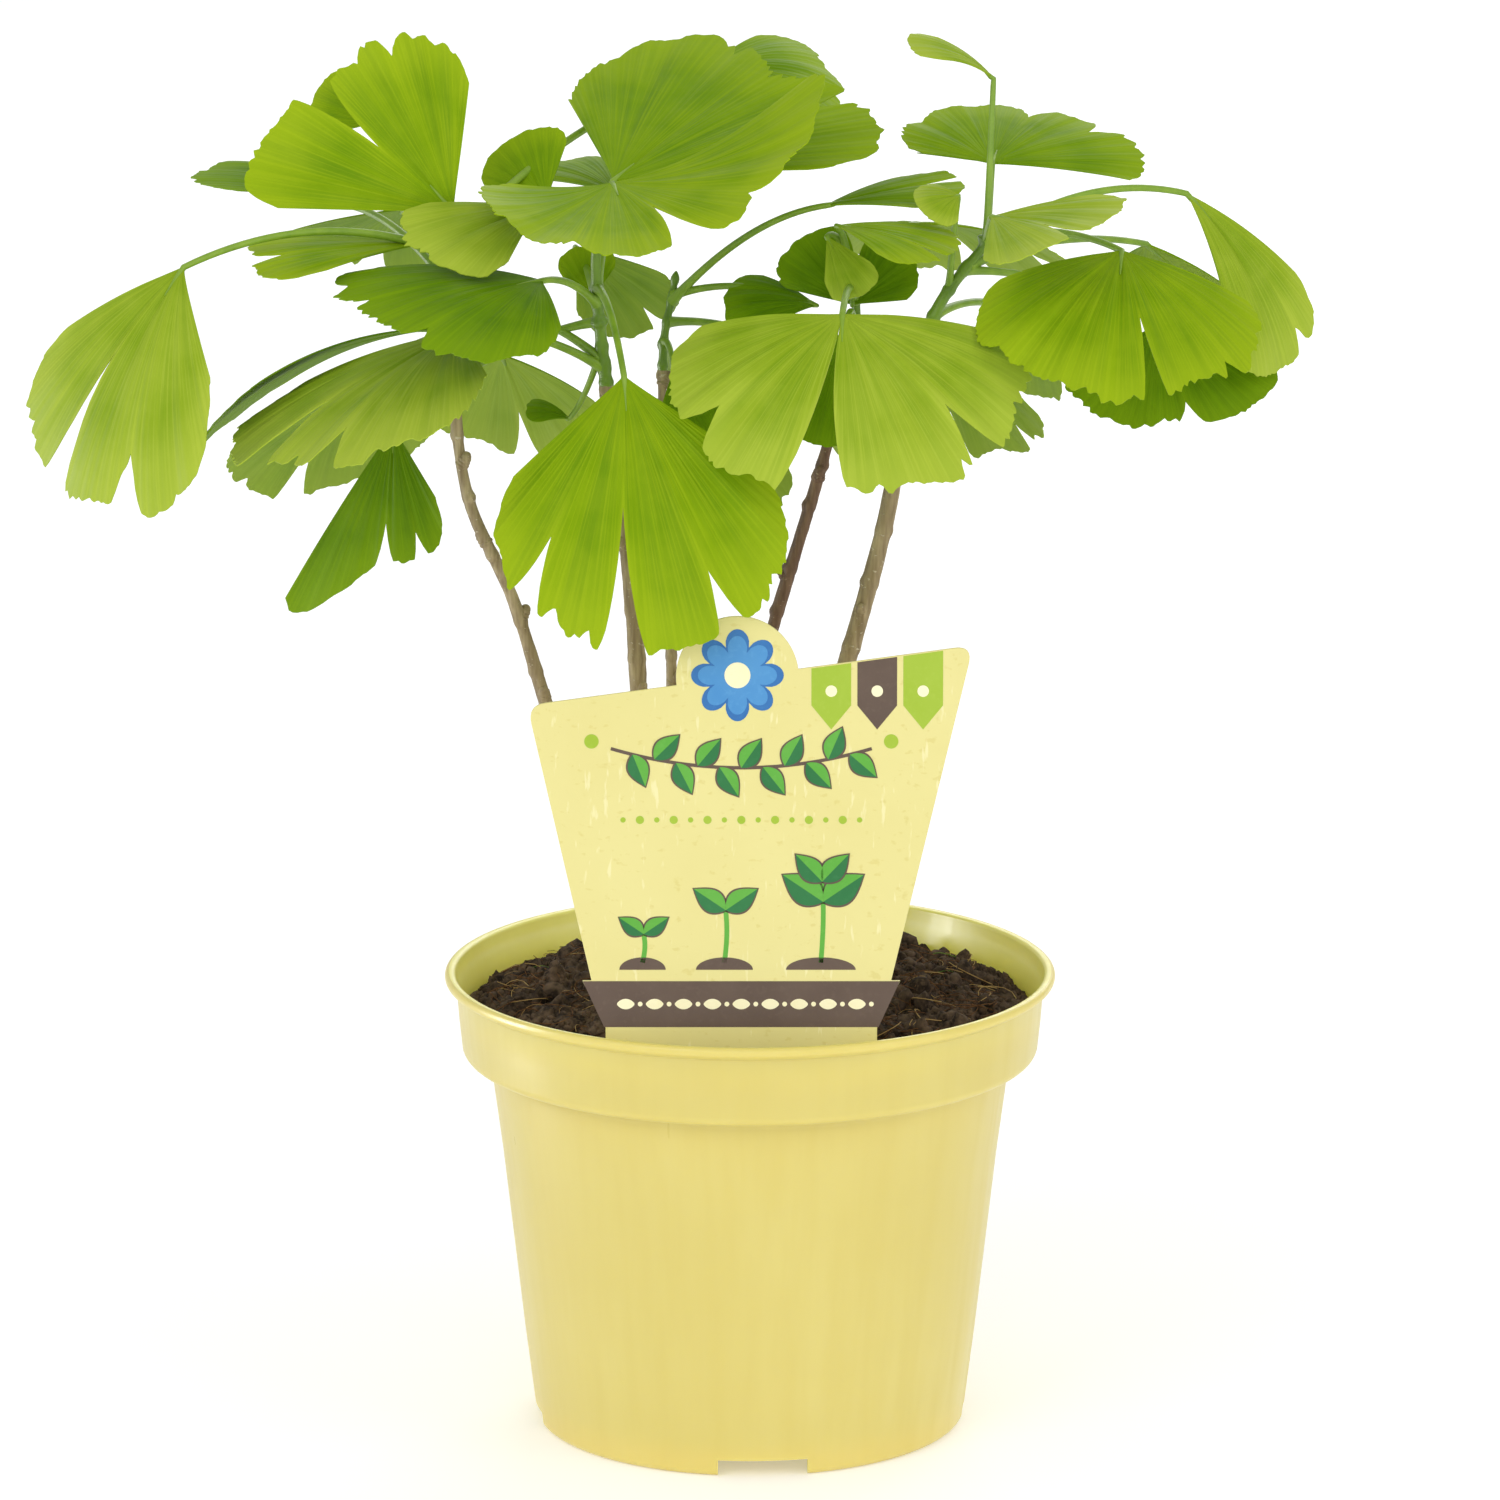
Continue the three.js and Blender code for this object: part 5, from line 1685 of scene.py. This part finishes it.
        top = [(0, at(0, i + 1), at(0, i)) for i in range(n - 1)]
        top += [(at(r, i), at(r, i + 1), at(r + 1, i + 1), at(r + 1, i)) for r in range(rings - 1)
                for i in range(n - 1)]
        bottom = [tuple(k + under for k in face[::-1]) for face in top]
        edges = [(at(rings - 1, i + 1), at(rings - 1, i)) for i in range(n - 1)]
        first = [0, *(at(r, 0) for r in range(rings))]
        final = [0, *(at(r, n - 1) for r in range(rings))]
        edges += list(zip(first[1:], first)) + list(zip(final, final[1:]))
        walls = [(a, a + under, b + under, b) for a, b in edges]
        tone = 2 * leaf.tone.value
        finishes = [tone] * len(top) + [tone + 1] * len(bottom) + [tone] * len(walls)
        shell.add(points, top + bottom + walls, finishes, fan=np.concatenate([fan, fan]), OFBake=atlas)


@dataclass
class Stalks:
    """Makes the stalks' wire: an arch from the shoot to the blade, thick at its foot."""

    steps: int = 22
    radii: Span = (0.92, 0.68)
    foot: float = 0.5
    foot_fade: float = 14
    full_size: float = 40
    least: float = 0.72
    rib_drop: float = 0.15
    run_on: tuple[Span, ...] = ((1.5, 0.62), (3.0, 0.5), (5.0, 0.34), (7.5, 0.16))
    points: list[Array] = field(default_factory=list)
    sizes: list[float] = field(default_factory=list)
    edges: list[tuple[int, int]] = field(default_factory=list)

    def add(self, leaf: Leaf, stem: Stem) -> None:
        """Adds one stalk, which fades out as the blade's middle rib."""
        path = leaf.arch(stem, self.steps)
        shares = np.linspace(0, 1, len(path))
        sizes = lerp(*self.radii, shares) + self.foot * np.exp(-shares * self.foot_fade)
        length = leaf.frame().length
        scale = min(length / self.full_size, 1)
        rib = np.concatenate([leaf.places(np.zeros(1), np.array([d * scale / length]), -self.rib_drop)
                              for d, _ in self.run_on])
        path = np.concatenate([path, rib])
        sizes = np.concatenate([sizes, [r for _, r in self.run_on]]) * lerp(self.least, 1, scale)
        first = sum(map(len, self.points))
        self.edges += [(first + k, first + k + 1) for k in range(len(path) - 1)]
        self.points.append(path)
        self.sizes += list(sizes)

    def build(self, name: str, material: Material) -> Piece:
        """Grows the limbs on the wire.

        Args:
            name: The piece's name.
            material: Its finish.

        Returns:
            The finished piece.
        """
        wire = bpy.data.meshes.new(name + "_wire")
        wire.from_pydata((np.concatenate(self.points) * MM).tolist(), self.edges, [])
        radius = wire.attributes.new("limb_radius", "FLOAT", "POINT")
        radius.data.foreach_set("value", np.array(self.sizes) * MM)
        return limb_tree(12, material).grown(name, wire)


STEMS = {stem.name: stem for stem in (
    Stem(
        "left", ((-26, 6, 86), (-32, 4, 120), (-43, -2, 157), (-50, -5, 181), (-59, -8, 203),
                   (-62, -10, 228), (-63, -12, 258)),
        wood=0.86, radii=(1.7, 1.15, 1.1, 0.8), flare=0.7, spurs=6),
    Stem(
        "centre", ((-21.5, -2, 86), (-22.5, -3, 125), (-24, -5, 170), (-27, -7, 203), (-31, -8, 236),
                   (-32, -11, 256), (-29.5, -12, 267)),
        wood=0.78, radii=(2.4, 1.4, 1.35, 0.9), flare=1, spurs=6),
    Stem(
        "back", ((-17, 12, 86), (-16.5, 12, 130), (-17, 12, 180), (-18.5, 12, 226), (-16, 16, 244)),
        wood=0.89, radii=(1.4, 0.95, 0.95, 0.7), flare=0.6, spurs=5),
    Stem(
        "mid_right", ((-14, 6, 86), (-5, 6, 132), (4, 6, 169), (14, 7, 203), (22, 8, 234), (21, 6, 250)),
        wood=0.88, radii=(1.65, 1.15, 1.1, 0.8), flare=0.7, spurs=5, bark="red_bark"),
    Stem(
        "right", ((0, 2, 86), (10, 1, 128), (20.5, 0, 166), (28, 0, 194), (37, -2, 237), (50, 0, 257)),
        wood=0.84, radii=(2.3, 1.6, 1.5, 0.9), flare=1, spurs=6),
)}

# Each leaf's tone is partly painted light and shade: leaves in shade take the dark tones, lit leaves the
# light one.
LEAVES = (
    Leaf("far_left", "left", 0.95, 6, (-117, -25, 255.5), (-137, -38, 206), (-0.6, -1, 0.5), 88,
         (0.66, 0.64), 50, 36, ((0.25, 0.55, 0.1), (-0.25, 0.2, 0.08)), Tone.LIGHT),
    Leaf("top_left", "left", 1, 0, (-61.5, -14, 265), (-88, -8, 295), (0, -1, 0.3), 96, (1.25, 0.88), 10,
         10, ((-0.17, 0.48, 0.12), (0.4, 0.08, 0.06)), Tone.FRESH),
    Leaf("top_left_behind", "left", 0.9, 4, (-78, 8, 280), (-91, 12, 287), (0.3, -1, 0.2), 90, (0.9, 0.9),
         20, 20, (), Tone.FRESH),
    Leaf("left_small", "left", 0.9, 0, (-67.5, -12, 258), (-104, -26, 256), (0, -0.15, 1), 46, (0.95, 0.95),
         15, 20, ((0.1, 0.2, 0.15),), Tone.FRESH),
    Leaf("dark_mid", "centre", 0.4, 2, (-43, -27, 253), (-74, -57, 247), (0.1, -0.25, 1), 116, (0.66, 1),
         26, 30, ((-0.1, 0.12, 0.08), (0.4, 0.1, 0.06)), Tone.DARK),
    Leaf("droplet", "centre", 0.8, 2, (-44, -10, 265), (-68, -34, 259), (-0.3, -0.9, 0.8), 60, (0.9, 0.9),
         25, 10, (), Tone.LIGHT),
    Leaf("behind_left", "left", 0.97, 4, (-42.5, 2, 264.5), (-51, 14, 276), (0, -1, 0.3), 90, (0.9, 1), 10,
         10, (), Tone.DEEP),
    Leaf("top_back", "centre", 1, 0, (-28.5, -8, 270.5), (8, 39, 291), (0, -0.3, 1), 104, (0.72, 0.93), 8,
         10, ((0.1, 0.16, 0.25), (0.42, 0.2, 0.05)), Tone.DEEP),
    Leaf("top_front", "centre", 1, -1, (-28.5, -10.5, 270.5), (-22, -46, 261.5), (-0.12, -0.25, 1), 190,
         (1.62, 0.78), 10, -30, ((-0.2, 0.5, 0.09), (-0.46, 0.12, 0.08), (0.25, 0.12, 0.1)), Tone.FRESH),
    Leaf("top_right", "left", 1, 6, (-11, 50, 281.5), (21, 54, 277), (0.2, -0.3, 1), 110, (0.9, 0.9), 70,
         20, ((0, 0.2, 0.1),), Tone.DEEP),
    Leaf("dark_right", "mid_right", 1, 0, (21.5, 4, 242), (23, 12, 258.5), (0, -1, 0.6), 160, (1.05, 0.85),
         0, 0, ((0, 0.5, 0.16),), Tone.DARK),
    Leaf("flat_right", "back", 0.8, 4, (16, 5, 263), (45, 10, 268), (0, -0.1, 1), 70, (0.9, 0.9), 10, 30,
         ((0, 0.4, 0.1),), Tone.DEEP),
    Leaf("flat_low", "mid_right", 1, 2, (18, -8, 261), (42, -20, 258), (0.1, -0.2, 1), 70, (0.9, 0.9), 20,
         30, ((0.2, 0.3, 0.1),), Tone.FRESH),
    Leaf("mid_serrated", "mid_right", 1, 3, (16, -4, 258), (23, -12, 247), (0.2, -1, 0.2), 60, (0.9, 0.9),
         10, 20, (), Tone.LIGHT),
    Leaf("young", "right", 0.5, 2, (43.5, -6, 267), (34.5, -9, 265.5), (0, -0.5, 1), 140, (1, 1), 20, 30,
         (), Tone.LIGHT),
    Leaf("top_right_small", "right", 1, 0, (51, 10, 289), (32, 4, 297.5), (0.3, -0.3, 1), 40, (0.9, 0.9),
         50, 20, (), Tone.LIGHT),
    Leaf("umbrella", "right", 1, 0, (51, 16, 270), (57, 44, 277), (0.05, -0.1, 1), 170, (0.75, 1.3), 20, 8,
         ((0.1, 0.2, 0.1), (0.5, 0.2, 0.1)), Tone.DEEP),
    Leaf("light_right", "right", 1, 1, (50, -22, 265.5), (70, -46, 267), (-0.1, -0.35, 1), 96, (0.95, 0.95),
         10, 20, ((0.1, 0.4, 0.1),), Tone.LIGHT),
    Leaf("big_right", "right", 1, 3, (77, -20, 258), (74, -50, 232), (0, -1, 0.8), 150, (0.9, 0.85), 30, 30,
         ((-0.18, 0.5, 0.05), (-0.55, 0.1, 0.06)), Tone.FRESH),
    Leaf("far_right", "right", 1, 5, (91.6, 8, 265), (112.6, 8, 227), (0.8, -0.9, 0.5), 48, (0.9, 0.85),
         50, 20, ((-0.4, 0.1, 0.1),), Tone.LIGHT),
    Leaf("low_right", "right", 0.7, 3, (86, 14, 236), (88, 2, 216), (0, -1, 0.6), 130, (1.5, 1.2), 10, 10,
         ((-0.2, 0.2, 0.1),), Tone.DARK),
    Leaf("front_right", "mid_right", 0.6, 4, (19, -35, 247.5), (18.5, -59, 213.5), (0, -1, 0.6), 190,
         (1.04, 0.96), 44, 34, ((0.09, 0.93, 0.11), (-0.5, 0.3, 0.07), (0.55, 0.2, 0.07)), Tone.LIGHT),
    Leaf("behind_front_right", "mid_right", 0.2, 4, (20, -10, 239.5), (15.5, -18, 215.5), (0, -1, 0.3), 90,
         (0.9, 0.9), 20, 20, (), Tone.DARK),
    Leaf("cap_right", "back", 0.9, 3, (14, 6, 241.5), (-6, 6, 240.5), (0, -0.6, 1), 76, (0.9, 0.9), 50, 20,
         (), Tone.DARK),
    Leaf("low_centre", "back", 0.2, 2, (-16, 2, 229), (-9, -4, 213), (0.2, -1, 0.2), 80, (0.9, 0.9), 20, 20,
         (), Tone.DARK),
    Leaf("grey_centre", "centre", 0.3, 3, (-37, 22, 251), (-20, 30, 231), (0.3, 1, 0.6), 80, (0.9, 0.9), 20,
         20, ((0.1, 0.2, 0.1),), Tone.DEEP),
    Leaf("behind_centre", "centre", 0.3, 0, (-33, 6, 243), (-35, 9, 254), (0, -1, 0.2), 90, (0.9, 0.9), 10,
         10, (), Tone.DEEP),
    Leaf("tiny", "centre", 0.15, -2, (-38, -3, 219), (-47, -4, 221), (0, -0.6, 1), 60, (0.9, 0.9), 60, 40,
         (), Tone.DARK),
    Leaf("front_centre", "centre", 0.5, 4, (-26, -34, 234.5), (-22, -52, 179), (0, -1, 0.35), 104,
         (0.8, 0.7), 16, 24, ((0.54, 0.3, 0.08), (0.08, 0.53, 0.1), (-0.37, 0.2, 0.06)), Tone.FRESH),
    Leaf("low_left", "centre", 0.02, 3, (-60.5, -22, 241), (-96, -54, 217), (-0.5, -0.25, 1), 125,
         (0.72, 0.95), 30, 24, ((0.22, 0.42, 0.09), (-0.2, 0.2, 0.08)), Tone.LIGHT),
    Leaf("arc_left", "centre", 0.06, 6, (-64, -4, 238.5), (-118, -8, 212.5), (-0.3, 0.3, 1), 46, (0.8, 0.8),
         50, 20, (), Tone.DARK),
    Leaf("hanging_left", "centre", 0.3, 4, (-75, 4, 216), (-75.5, 0, 186), (-0.2, -1, 0.2), 66, (0.75, 1.93),
         20, 10, ((0.1, 0.3, 0.12), (-0.4, 0.2, 0.1)), Tone.DARK),
)

BACK_LEAVES = {
    "left": ((116, 45, -18, 40, 46), (76, 40, -16, 52, 34), (128, 34, 12, -6, 42), (101, 58, 0, 30, 40)),
    "centre": ((84, 36, 14, 0, 42),),
    "back": ((88, 34, -16, 62, 42), (30, 36, -12, 60, 34), (54, 42, 25, 4, 38)),
    "mid_right": ((66, 36, -10, 50, 38), (75, 54, 4, 24, 44)),
    "right": ((62, 42, -6, 36, 46), (42, 52, -2, 46, 40)),
}


@dataclass(frozen=True)
class BackRow:
    """The seeded traits of the leaves that close the crown's back."""

    seed: int = 11
    spread: Span = (95, 125)
    droop: Span = (15, 40)
    cup: Span = (10, 35)
    cleft_depth: Span = (0.3, 0.55)
    room: float = 4
    rise: float = 3
    face_height: float = 1.5
    sides: Span = (0.8, 0.85)
    middle_cleft: float = 0.09
    second_cleft: Place = (0.55, 0.2, 0.07)
    tones: tuple[Tone, ...] = (Tone.DEEP, Tone.FRESH, Tone.DARK)

    def candidates(self, name: str, random: Seeded) -> Iterator[Leaf]:
        """The leaves that one stem could bear at its back.

        Args:
            name: Which stem.
            random: The row of numbers that deals their traits out.

        Yields:
            One leaf for each of the stem's rows.
        """
        stem, rows = STEMS[name], BACK_LEAVES[name]
        curve = stem.curve()
        for i, (heading, stalk, lift, slope, length) in enumerate(rows):
            leave = (i + 0.5) / len(rows)
            turn, fall = math.radians(heading), math.radians(slope)
            out = np.array([math.cos(turn), math.sin(turn), 0])
            apex = curve.at(lerp(stem.shoot_start, 1, leave))[0] + out * stalk + (0, 0, lift)
            tip = apex + length * (out * math.cos(fall) - (0, 0, math.sin(fall)))
            spread, droop, cup = (random.between(span) for span in (self.spread, self.droop, self.cup))
            cleft = (0.2 * random.next() - 0.1, random.between(self.cleft_depth), self.middle_cleft)
            yield Leaf(f"{name}_back_{i}", name, leave, self.rise, tuple(apex), tuple(tip),
                       (out[0], out[1], self.face_height), spread, self.sides, droop, cup,
                       (cleft, self.second_cleft), self.tones[i % len(self.tones)])

    def grow(self) -> list[Leaf]:
        """The leaves that stand clear of all that is there before them."""
        taken = [leaf.samples(STEMS[leaf.stem]) for leaf in LEAVES]
        taken += [stem.curve().at(np.linspace(0, 1, 41)) for stem in STEMS.values()]
        random = Seeded(self.seed)
        kept = []
        for name, stem in STEMS.items():
            for leaf in list(self.candidates(name, random)):
                cloud = leaf.samples(stem)
                gaps = np.linalg.norm(np.concatenate(taken)[:, None] - cloud[None], axis=2)
                if gaps.min() > self.room:
                    kept.append(leaf)
                    taken.append(cloud)
        return kept


# ---------------------------------------------------------------- studio


@dataclass(frozen=True)
class Softbox:
    """One soft rectangular light that looks at the plant."""

    name: str
    azimuth: float
    elevation: float
    distance: float
    size: Span
    power: float
    aim: Place = (0, 0, 0.15)
    gloss_only: bool = False

    def place(self) -> None:
        """Adds the light to the scene; azimuth 0 stands in front and 90 on the right."""
        light = bpy.data.lights.new(self.name, "AREA")
        light.shape = "RECTANGLE"
        light.size, light.size_y = self.size
        light.energy = self.power
        lamp = bpy.data.objects.new(self.name, light)
        a, e = math.radians(self.azimuth), math.radians(self.elevation)
        out = Vector((math.sin(a) * math.cos(e), -math.cos(a) * math.cos(e), math.sin(e)))
        lamp.location = Vector(self.aim) + out * self.distance
        lamp.rotation_euler = out.to_track_quat("Z", "Y").to_euler()
        lamp.visible_camera = lamp.visible_diffuse = not self.gloss_only
        bpy.context.scene.collection.objects.link(lamp)


@dataclass
class Studio:
    """The camera, the pale ground and the soft light."""

    camera_place: Place = (0, -1.9439, 0.6171)
    pitch: float = 13.6
    lens: float = 226.5
    ground: Colour = (0.9, 0.9, 0.9)
    ground_reach: float = 20000
    ground_depth: float = 10
    glow: float = 0.24
    sky: float = 0.68
    lamps: tuple[Softbox, ...] = (
        Softbox("key", -36, 30, 1.8, (0.9, 0.8), 5.8),
        Softbox("front", 4, 24, 2.0, (1.2, 0.8), 4.8),
        Softbox("fill", 60, 22, 1.8, (1.0, 0.8), 4.1),
        Softbox("rear", 165, 26, 1.9, (1.2, 0.9), 8.0),
        Softbox("strip", -91, 0, 0.34, (0.09, 0.26), 1.4, (0, 0, 0.13), gloss_only=True),
    )

    def build(self) -> None:
        """Sets the studio up."""
        scene = bpy.context.scene
        view = bpy.data.cameras.new("front")
        view.lens, view.clip_end = self.lens, 50
        camera = bpy.data.objects.new("front", view)
        camera.location = self.camera_place
        camera.rotation_euler = (math.radians(90 - self.pitch), 0, 0)
        scene.collection.objects.link(camera)
        scene.camera = camera
        scene.view_settings.view_transform = "Standard"
        shell = Shell()
        far = self.ground_reach
        prism(shell, [(-far, -far), (far, -far), (far, far), (-far, far)], -self.ground_depth, 0)
        pale = Surface("ground", 0.9, 0.2, Emission_Color=(1, 1, 1, 1), Emission_Strength=self.glow)
        shell.piece("ground", [pale.done(self.ground)])
        world = bpy.data.worlds.new("pale")
        world.use_nodes = True
        light = world.node_tree.nodes["Background"].inputs
        light["Color"].default_value, light["Strength"].default_value = (1, 1, 1, 1), self.sky
        scene.world = world
        for lamp in self.lamps:
            lamp.place()


# ---------------------------------------------------------------- the plant


@dataclass
class Plant:
    """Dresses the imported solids: every piece rides the root body and stands for its node."""

    finishes: dict[str, Material] = field(default_factory=dict)

    def paint_box(self) -> None:
        """Makes the finishes that several pieces share."""
        self.finishes = {
            "plastic": MouldedPlastic().build(),
            # The inside finish is the plastic painted paler: a painted glow for the light that comes through
            # the pot's wall.
            "inside": MouldedPlastic("pot_inside", paint(254, 243, 140), paint(248, 234, 126)).build(),
            "board": Board().build(),
            "bark": Bark("bark").build(),
            "red_bark": Bark("red_bark", paint(142, 114, 92), paint(98, 74, 60),
                             paint(176, 154, 130)).build(),
            "peat": Earth("peat", paint(43, 34, 27), paint(110, 91, 74)).build(),
            "straw": Earth("straw", paint(150, 118, 72), paint(196, 168, 112), depth=0.0001).build(),
            "root": Earth("root_fibre", paint(78, 52, 32), paint(128, 92, 58), depth=0.0001).build(),
            "moss": Earth("moss", paint(70, 104, 40), paint(128, 152, 70), depth=0.0001).build(),
            "shoot": GreenStem("green_shoot", paint(116, 150, 40), paint(90, 124, 32)).build(),
            "stalk": GreenStem("leaf_stalk", paint(140, 172, 50), paint(110, 146, 34)).build(),
        }

    def dress(self, piece: Piece, node: str) -> None:
        """Binds a piece to the body and to the node that it stands for."""
        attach(piece, ROOT)
        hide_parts(node)
        LOG.info("%s: %d faces for %s", piece.name, len(piece.data.polygons), node)

    def build(self) -> None:
        """Makes every piece of the plant."""
        f = self.finishes
        pot = Pot()
        self.dress(pot.build(f["plastic"], f["inside"]), "pot")
        for piece in Peat(pot).build(f["peat"], f["straw"], f["root"], f["moss"]):
            self.dress(piece, "peat")
        inks = {ink.name: ink.build() for ink in INKS}
        for piece in LabelCard().build(f["board"], inks):
            self.dress(piece, "label_card")
        leaves = [*LEAVES, *BackRow().grow()]
        coats = [side[tone].build() for tone in Tone for side in (UPPER, UNDER)]
        for seed, (name, stem) in enumerate(STEMS.items(), start=FIRST_SEED):
            own = [leaf for leaf in leaves if leaf.stem == name]
            LOG.info("%s bears %d leaves", name, len(own))
            wood, shoot, blades = Shell(), Shell(), Shell()
            stem.build_wood(wood, seed)
            self.dress(wood.piece("wood_" + name, [f[stem.bark]], crease=60), "stem_" + name)
            stem.build_shoot(shoot, own, seed)
            self.dress(shoot.piece("shoot_" + name, [f["shoot"]], crease=60), "leaves_" + name)
            stalks, maker = Stalks(), Blades()
            cells = math.ceil(math.sqrt(2 * len(own)))
            for index, leaf in enumerate(own):
                maker.add(blades, leaf, index, cells)
                stalks.add(leaf, stem)
            self.dress(blades.piece("blades_" + name, coats, crease=50), "leaves_" + name)
            self.dress(stalks.build("stalks_" + name, f["stalk"]), "leaves_" + name)


def main() -> None:
    """Loads the frame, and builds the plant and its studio."""
    logging.basicConfig(level=logging.INFO, format="%(name)s: %(message)s")
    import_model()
    plant = Plant()
    plant.paint_box()
    plant.build()
    Studio().build()


if __name__ == "__main__":
    main()
